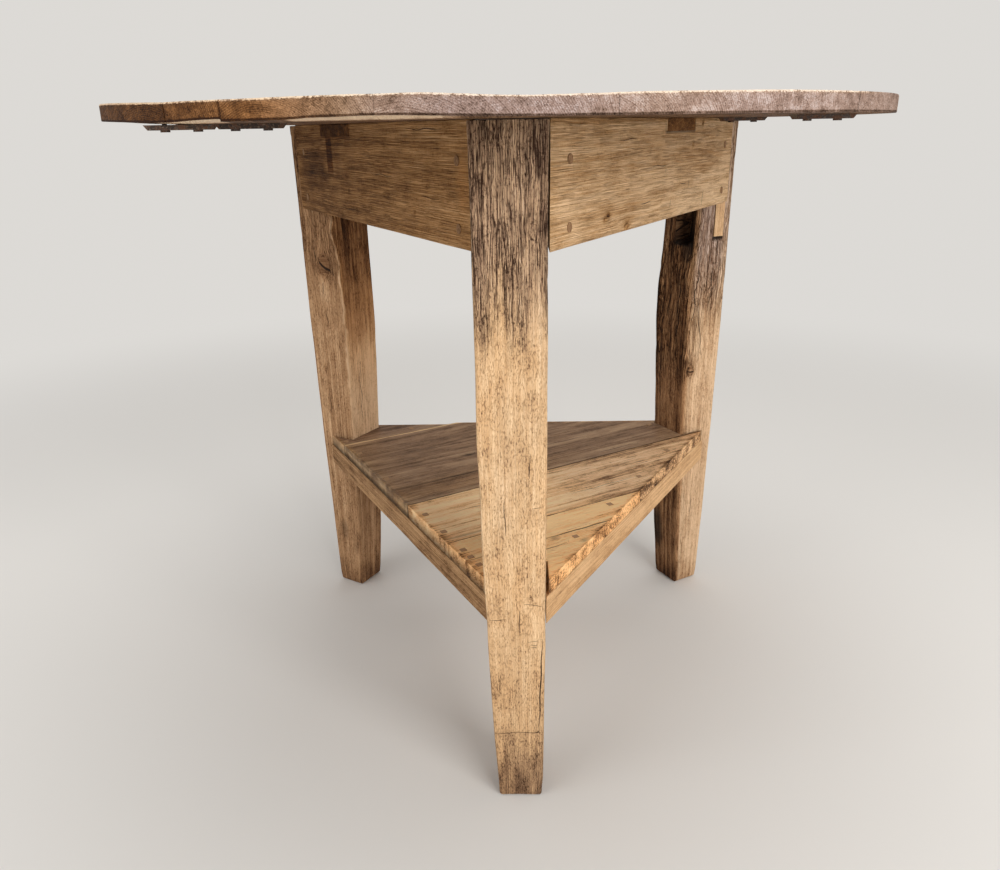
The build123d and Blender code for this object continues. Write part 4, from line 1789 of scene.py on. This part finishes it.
    def board(self, index: int, palette: Palette) -> Piece:
        """Build one board.

        Args:
            index: Its number from the left, from 0.
            palette: The finishes.

        Returns:
            The board's object.
        """
        left, right = self.sides(index)
        low, high = left + self.gap / 2, right - self.gap / 2
        outer = index in (0, 5)
        joint, side = (high, low) if index == 0 else (low, high)
        length = math.sqrt(self.radius**2 - joint**2) - 0.4 if outer else self.radius
        spans = ((low, high), (-length, length), (0, self.thickness))
        block = Block(spans, self.steps, self.arris)
        p = block.points
        if outer:
            rim_in, joint_in = np.abs(p[:, 0] - side), np.abs(p[:, 0] - joint)
        else:
            rim_in, joint_in = length - np.abs(p[:, 1]), np.minimum(p[:, 0] - low, high - p[:, 0])
        x, y, z = self.worn(index, block, rim_in, joint_in).T
        if outer:
            end = np.sqrt(np.maximum(self.radius**2 - y**2, 0))
            flat = self.worn_end * fade(np.abs(y), 190, 60) if index == 0 else 0.0
            part = (x - joint) / (side - joint)
            x = joint + part * ((-end + flat if index == 0 else end) - joint)
            rim = np.abs(np.abs(x) - end)
        else:
            y = y / length * np.sqrt(self.radius**2 - x**2)
            rim = np.abs(self.radius - np.hypot(x, y))
        z = z + self.wave(x, y, z / self.thickness, rim)
        if index == 0:
            x, z = self.tilted(x, z, low, high)
        points = np.stack([x, y, z + self.frame.height], axis=1)
        look = self.looks[index]
        across = x
        for knot in self.knots:
            across = np.where(np.abs(x - knot.across) < 4.0 * knot.radius, knot.bent(across, y), across)
        heart = np.stack([across - look.heart[0] + 0.03 * y, z - look.heart[1], y + 1100.0 * index], axis=1)
        share = p[:, 2] / self.thickness
        upper = (share > 0.9) * 1.0
        cracks = [line.read(x, y, upper) for line in self.shakes]
        cracks += [knot.split(x, y, upper) for knot in self.knots]
        surface = Surface(points, block.faces, heart, self.tints(index, p, x, y, share, rim), cracks)
        name = f"top_board_{index + 1}"
        return put(f"{name}_wood", surface, palette.get(Finish.TOP), name)

    def tints(self, index: int, p: Array, x: Array, y: Array, share: Array, rim: Array) -> Tints:
        """Pale beaded upper arris, raw pale bevel, dark line between rim and bevel, painted shade under the
        rest.

        Args:
            index: The board's number from the left, from 0.
            p: The grid points.
            x: Place from left to right, worn.
            y: Place from front to back, worn.
            share: 0 at the underside and 1 at the upper face.
            rim: Distance in from the rim.

        Returns:
            The tints.
        """
        look = self.looks[index]
        at_rim = fade(rim, 5, 1.5)
        side = np.where(y < 0.0, x, -x)
        place = np.stack([x, y, share * 16.0], axis=1)
        bead = 0.5 + 0.5 * ripple(place, (2.4, 2.4, 6), 131 + index)
        tone = look.tone + at_rim * (read_rows(self.rim_tone, x) - look.tone)
        tone += 0.16 * ripple(p, (30, 200, 30), 141 + index, 3)
        warm = look.warm + at_rim * (read_rows(self.rim_warm, x) - look.warm)
        tone += 0.16 * at_rim * ripple(place, (22, 22, 9), 151 + index, 3)
        tone -= 0.5 * at_rim * band(x, -206, 1.6, 0.3)
        for knot in self.knots:
            tone += fade(share, 0.8, 0.95) * knot.tone(x, y)
        worn = fade(ripple(p, (55, 70, 30), 171, 3), 0.15, 0.6)
        tone -= 0.16 * fade(share, 0.8, 0.95) * (1.0 - at_rim) * worn
        crest = fade(rim, 3.2, 1.2) * fade(share, 0.82, 0.95) * fade(x, 360, 300)
        arris = at_rim * band(share, 0.06, 0.07, 0.03)
        tone -= 0.8 * arris * (0.6 + 0.5 * bead)
        raw = fade(share, 0.06, 0) * fade(rim, 32, 18) * fade(rim, 0.5, 2)
        broken = fade(side, -206.4, -205.8) * fade(side, -146, -156)
        raw = raw * fade(side, -292, -268) * fade(side, -10, -45) * (1.0 - broken)
        raw = raw * fade(ripple(place, (26, 26, 26), 161), -0.75, -0.45)
        # Painted shade: the underside, all but the raw bevel, is darkened.
        under = fade(share, 0.05, 0) * (1.0 - raw)
        tone = tone + raw * (0.95 - look.tone) - 0.35 * under
        pale = (0.46 + 0.40 * np.maximum(bead, fade(x, -230, -280))) * crest
        edge = np.maximum(pale, 0.28 * at_rim * fade(share, 0.74, 0.86))
        low, high = self.sides(index)
        seam_in = np.minimum(p[:, 0] - low + 99.0 * (index == 0), high - p[:, 0] + 99.0 * (index == 5))
        seam = fade(seam_in, 1.3, 0.3) * fade(share, 0.90, 0.96) * (1.0 - crest)
        warm = warm * (1.0 - 0.8 * crest) * (1.0 - raw) + 0.15 * raw
        return tinted(len(p), tone=tone, warm=warm, soot=0.7 * seam, edge=edge)

    def make(self, palette: Palette) -> list[Piece]:
        """Build all six boards and return them."""
        return [self.board(index, palette) for index in range(6)]


@dataclass
class Shelf:
    """The triangular shelf, cut into a fine grid over its own boards."""

    frame: TableFrame = field(default_factory=TableFrame)
    top: float = 268.0
    grid: tuple[float, float] = (9, 3.4)
    arris: float = 1.4
    skin: float = 4.0
    slope: float = 1.732
    corners: tuple[float, float] = (366.4, 344)
    edge_depths: Sequence[float] = (-0.2, -0.2, 0.56, 0.98, 0.98)
    looks: Sequence[BoardLook] = (
        BoardLook(-0.16, -0.3, (60, -40)),
        BoardLook(-0.04, -0.2, (20, -90)),
        BoardLook(0.38, 0.22, (-60, -50)),
        BoardLook(0.64, 0.50, (30, -40)),
        BoardLook(0.60, 0.50, (-20, -45)),
    )
    cracks: Sequence[Crack] = (
        Crack(-7, 40, 210, 0.7, 0.01, 1.2), Crack(13, 95, 260, 0.6, 0, 1), Crack(-66, 128, 158, 1, 0.1, 0.8),
        Crack(-120, 60, 120, 0.5), Crack(-40, 230, 330, 0.5), Crack(24, 300, 380, 0.6),
        Crack(90, 40, 130, 0.4), Crack(120, 190, 300, 0.4), Crack(205.5, 100, 190, 0.9, 0, 0.6),
        Crack(182, 30, 90, 0.5), Crack(226, 60, 120, 0.5),
    )

    def axes(self) -> Axes:
        """X towards the front along the left side, Y out over that side."""
        return self.frame.side_axes(LEFT_SIDE)

    def sliced(self, node: str) -> tuple[Array, list[list[int]], Array]:
        """Cut a board's own solid into a fine grid with eased arrises.

        Args:
            node: The board's node.

        Returns:
            Its points in the table's frame in millimetres, its faces and its normals.
        """
        axes = self.axes()
        work = bmesh.new()
        work.from_mesh(frame["nodes"][node].data)
        bmesh.ops.remove_doubles(work, verts=work.verts, dist=0.00002)
        bmesh.ops.dissolve_limit(work, angle_limit=math.radians(1), verts=work.verts, edges=work.edges)
        sharp = [edge for edge in work.edges if len(edge.link_faces) == 2 and edge.calc_face_angle() > 0.5]
        bmesh.ops.bevel(
            work, geom=sharp, offset=self.arris * MM, offset_type="OFFSET", segments=2, profile=0.5,
            affect="EDGES", clamp_overlap=True,
        )
        local = axes.local(np.array([vert.co[:] for vert in work.verts]) / MM)
        for column, axis, step in ((1, axes.y, self.grid[0]), (0, axes.x, self.grid[1])):
            low, high = float(local[:, column].min()), float(local[:, column].max())
            for place in np.arange(low + step, high - step / 2, step):
                point = (Vector(axes.origin) + Vector(axis) * float(place)) * MM
                geometry = work.verts[:] + work.edges[:] + work.faces[:]
                bmesh.ops.bisect_plane(
                    work, geom=geometry, dist=0.000001, plane_co=point, plane_no=Vector(axis)
                )
        bmesh.ops.triangulate(work, faces=[face for face in work.faces if len(face.verts) > 4])
        work.normal_update()
        points = np.array([vert.co[:] for vert in work.verts]) / MM
        normals = np.array([vert.normal[:] for vert in work.verts])
        work.verts.index_update()
        faces = [[vert.index for vert in face.verts] for face in work.faces]
        work.free()
        return points, faces, normals

    def span(self, v: Array) -> Array:
        """How far the shelf reaches across from its left side, at each place towards the front."""
        front, rear = self.corners
        return self.frame.stretcher_distance - np.maximum(self.slope * v - front, -self.slope * v - rear)

    def tints(self, index: int, p: Array) -> Tints:
        """Stains, knots and the golden sawn edges.

        Args:
            index: The board's number from the rear, from 0.
            p: Distance in from the left side, place towards the front and height, shape (n, 3).

        Returns:
            The tints.
        """
        u, v, z = p.T
        look = self.looks[index]
        upper = z > self.top - self.skin
        tone = look.tone + 0.2 * ripple(p, (170, 26, 40), 201 + index, 3)
        warm = np.full(len(p), look.warm)
        edge = np.maximum(fade(u, 9, 2), fade(self.span(v) - u, 12, 2))
        warm += edge * (0.45 - look.warm) * 0.6
        end_grain = ripple(p, (13, 6.5, 20), 231, 2)
        tone -= edge * (self.edge_depths[index] + 0.45 * end_grain)
        soot = 0.8 * fade(u, 4, 1) * fade(z, self.top - 14.0, self.top - 16.5)
        if index == 1:
            tone -= 0.04 * patch(u, v, (140, 8), (230, 26)) * upper
            warm += 0.3 * patch(u, v, (110, 12), (200, 36))
            soot += 0.8 * patch(u, v, (142, -65), (9, 4)) * upper
            for line in (-7, 13, 33):
                away = np.abs(v - line - 2.0 * ripple(p, (60, 9, 9), 7))
                soot += 0.22 * fade(away, 3.2, 0.5) * fade(u, 260, 120) * upper
            bright = band(v, -194.5, 2.4, 0.8) * upper
            tone += bright
            warm *= 1.0 - bright
            tone += 0.3 * patch(u, v, (342, 18), (80, 3.6)) * upper
        if index == 2:
            grey = fade(u, 140, 260)
            tone -= 0.50 * grey
            warm -= 0.35 * grey
            soot += 0.4 * band(v, 150, 3, 0.6) * fade(u, 200, 120) * upper
        if index == 3:
            tone += 0.4 * band(v, 200, 4, 1) * upper
        if index == 4:
            for spot in ((110, 211), (138, 231)):
                soot += 0.4 * patch(u, v, spot, (8, 5)) * upper
        if index >= 3:
            soot += 0.25 * patch(u, v, (280, 158), (14, 9)) * upper
        weather = np.full(len(p), 0.05)
        return tinted(len(p), tone=tone, warm=warm, soot=np.clip(soot, 0, 1), weather=weather)

    def board(self, index: int, palette: Palette) -> Piece:
        """Build one board.

        Args:
            index: Its number from the rear, from 0.
            palette: The finishes.

        Returns:
            The board's object.
        """
        node = f"shelf_board_{index + 1}"
        points, faces, normals = self.sliced(node)
        local = self.axes().local(points)
        p = np.stack([self.frame.stretcher_distance - local[:, 1], local[:, 0], local[:, 2]], axis=1)
        u, v, z = p.T
        push = 0.22 * ripple(p, (90, 45, 30), 211 + index, 2) - 0.28
        moved = points + normals * push[:, None]
        look = self.looks[index]
        across, depth = v - look.heart[0] + 60.0 * index, z - self.top + look.heart[1]
        heart = np.stack([across, depth, u + 700.0 * index], axis=1)
        cracks = [line.read(v, u, (z > self.top - self.skin) * 1.0) for line in self.cracks]
        tints = self.tints(index, p)
        inboard = np.minimum(u, self.span(v) - u)
        seam = fade(np.abs(normals @ np.array(self.axes().x)), 0.25, 0.75) * fade(inboard, 4, 8)
        tints["soot"] = np.clip(tints["soot"] + 0.5 * seam, 0, 1)
        tints["edge"] = 0.7 * fade(inboard, 3.4, 0.5)
        surface = Surface(moved, faces, heart, tints, cracks)
        finish = Finish.SHELF_GOLD if index > 1 else Finish.SHELF
        return put(f"{node}_wood", surface, palette.get(finish), node)

    def make(self, palette: Palette) -> list[Piece]:
        """Build all five boards and return them."""
        return [self.board(index, palette) for index in range(5)]


@dataclass
class Fixings:
    """Pegs, nails, straps and the mortise filler, which keep their own solids."""

    finishes: dict[str, Finish] = field(
        default_factory=lambda: {
            "apron_peg": Finish.PEG,
            "mortise_filler": Finish.NEW_WOOD,
            "mending_strap": Finish.IRON,
            "strap_screw": Finish.IRON,
            "top_nail": Finish.NAIL_IRON,
            "cleat_nail": Finish.NAIL_IRON,
            "shelf_nail": Finish.NAIL_IRON,
        }
    )

    def make(self, palette: Palette) -> None:
        """Give each solid its finish.

        Args:
            palette: The finishes.
        """
        for node, finish in self.finishes.items():
            piece = frame["nodes"][node]
            piece.data.materials.clear()
            piece.data.materials.append(palette.get(finish))
            log.info("%s keeps its solid and takes %s", node, finish.name.lower())


@dataclass
class Studio:
    """Camera, lamps, floor and world."""

    eye: Point = (17.0, -1037.0, 707.0)
    pitch: float = 0.3645
    yaw: float = -0.0215
    roll: float = 0.018
    lens: float = 808.0 / 1000.0 * 36.0
    ground: Colour = (0.72, 0.70, 0.67)
    sky: Colour = (1.0, 0.985, 0.965)
    sky_strength: float = 0.50
    floor_reach: float = 30.0
    floor_fade: tuple[float, float] = (1.0, 2.4)

    def camera(self) -> None:
        """Set the camera where the photograph was taken from."""
        level = math.cos(self.pitch)
        ahead = Vector((math.sin(self.yaw) * level, math.cos(self.yaw) * level, -math.sin(self.pitch)))
        right = Vector((math.cos(self.yaw), -math.sin(self.yaw), 0.0))
        down = ahead.cross(right)
        turned = math.cos(self.roll) * right + math.sin(self.roll) * down
        below = -math.sin(self.roll) * right + math.cos(self.roll) * down
        data = bpy.data.cameras.new("photo_camera")
        data.sensor_fit = "HORIZONTAL"
        data.sensor_width = 36.0
        data.lens = self.lens
        camera = bpy.data.objects.new("photo_camera", data)
        columns = Matrix((turned, -below, -ahead)).transposed().to_4x4()
        camera.matrix_world = Matrix.Translation(Vector(self.eye) * MM) @ columns
        bpy.context.scene.collection.objects.link(camera)
        bpy.context.scene.camera = camera

    def lamp(
        self, name: str, place: Point, size: float, power: float, colour: Colour = (1.0, 1.0, 1.0)
    ) -> None:
        """Add a soft square lamp that faces the table.

        Args:
            name: Its name.
            place: Where it hangs, in metres.
            size: Its side, in metres.
            power: Its power, in watts.
            colour: Its colour.
        """
        data = bpy.data.lights.new(name, "AREA")
        data.shape = "SQUARE"
        data.size = size
        data.energy = power
        data.color = colour
        lamp = bpy.data.objects.new(name, data)
        lamp.location = place
        lamp.rotation_euler = (Vector((0.0, 0.0, 0.4)) - Vector(place)).to_track_quat("-Z", "Y").to_euler()
        bpy.context.scene.collection.objects.link(lamp)

    def world(self) -> None:
        """Light the table evenly, with a plain pale background."""
        world = bpy.data.worlds.new("studio")
        world.use_nodes = True
        bpy.context.scene.world = world
        w = Wiring(world.node_tree)
        lit = world.node_tree.nodes["Background"]
        lit.inputs["Color"].default_value = (*self.sky, 1.0)
        lit.inputs["Strength"].default_value = self.sky_strength
        seen = w.add("ShaderNodeBackground")
        seen.inputs["Color"].default_value = (*self.ground, 1.0)
        seen.inputs["Strength"].default_value = 1.0
        rays = w.add("ShaderNodeLightPath").outputs
        mirrored = w.math("MAXIMUM", rays["Is Glossy Ray"], rays["Is Transmission Ray"])
        either = w.math("MAXIMUM", rays["Is Camera Ray"], mirrored)
        w.shade("World Output", either, lit, seen)

    def floor(self) -> None:
        """Lay a plain pale floor that meets the background without an edge."""
        mesh = bpy.data.meshes.new("floor")
        reach = self.floor_reach
        corners = [(-reach, -reach, 0.0), (reach, -reach, 0.0), (reach, reach, 0.0), (-reach, reach, 0.0)]
        mesh.from_pydata(corners, [], [(0, 1, 2, 3)])
        floor = bpy.data.objects.new("floor", mesh)
        bpy.context.scene.collection.objects.link(floor)
        material, w, shader = painted("floor")
        shader.inputs["Base Color"].default_value = (*self.ground, 1.0)
        shader.inputs["Roughness"].default_value = 0.9
        shader.inputs["Specular IOR Level"].default_value = 0.1
        far = w.add("ShaderNodeEmission")
        far.inputs["Color"].default_value = (*self.ground, 1.0)
        place = w.add("ShaderNodeNewGeometry").outputs["Position"]
        away = w.span(w.vector("LENGTH", place), *self.floor_fade)
        seen = w.math("MULTIPLY", away, w.add("ShaderNodeLightPath").outputs["Is Camera Ray"])
        w.shade("Material Output", seen, shader, far)
        mesh.materials.append(material)

    def make(self) -> None:
        """Set up the whole studio."""
        self.camera()
        self.world()
        self.floor()
        self.lamp("key", (1.6, -2.4, 1.35), 1.7, 63.0, (1.0, 0.99, 0.975))
        self.lamp("fill", (-2.2, -1.6, 1.4), 2.0, 23.0)
        self.lamp("top", (0.2, 0.6, 2.9), 2.2, 30.0)
        bpy.context.scene.view_settings.view_transform = "Standard"


@dataclass
class CricketTable:
    """The whole table."""

    frame: TableFrame = field(default_factory=TableFrame)

    def legs(self) -> list[Leg]:
        """List the three legs.

        Returns:
            The legs.
        """
        return [
            FrontLeg("leg_front", 270.0, 3, Finish.FRONT_LEG, "weathered_oak"),
            LeftLeg("leg_left", 150.0, 5, Finish.BACK_LEG, "weathered_oak", foot_shift=-3.0),
            RightLeg("leg_right", 30.0, 8, Finish.BACK_LEG, "old_timber", foot_shift=3.0),
        ]

    def rails(self) -> list[Rail]:
        """List the aprons and stretchers.

        Returns:
            The rails.
        """
        f = self.frame
        apron = (25.0, 604.0, 713.6, Finish.APRON, "apron_oak")
        low = (28.0, 218.0, 250.0, Finish.STRETCHER, "stretcher_oak")
        return [
            LeftApron("apron_left", LEFT_SIDE, 11, f.apron_distance, *apron),
            RightApron("apron_right", RIGHT_SIDE, 12, f.apron_distance, *apron, grow_low=5.5),
            Rail("apron_back", BACK_SIDE, 13, f.apron_distance, *apron, tint=-0.1),
            Rail("stretcher_left", LEFT_SIDE, 14, f.stretcher_distance, *low, tint=-0.30, warmth=0.25),
            Rail("stretcher_right", RIGHT_SIDE, 15, f.stretcher_distance, *low, tint=0.30, warmth=0.35),
            Rail("stretcher_back", BACK_SIDE, 16, f.back_stretcher_distance, *low, tint=-0.1, warmth=0.1),
        ]

    def make(self, palette: Palette) -> None:
        """Build every piece.

        Args:
            palette: The finishes.
        """
        for leg in self.legs():
            leg.make(palette)
        for rail in self.rails():
            rail.make(palette)
        Cleat().make(palette)
        Shelf().make(palette)
        RoundTop().make(palette)
        Fixings().make(palette)


def main() -> None:
    """Build the studio and the table."""
    logging.basicConfig(level=logging.INFO, format="%(name)s: %(message)s")
    Studio().make()
    CricketTable().make(Palette())


if __name__ == "__main__":
    main()
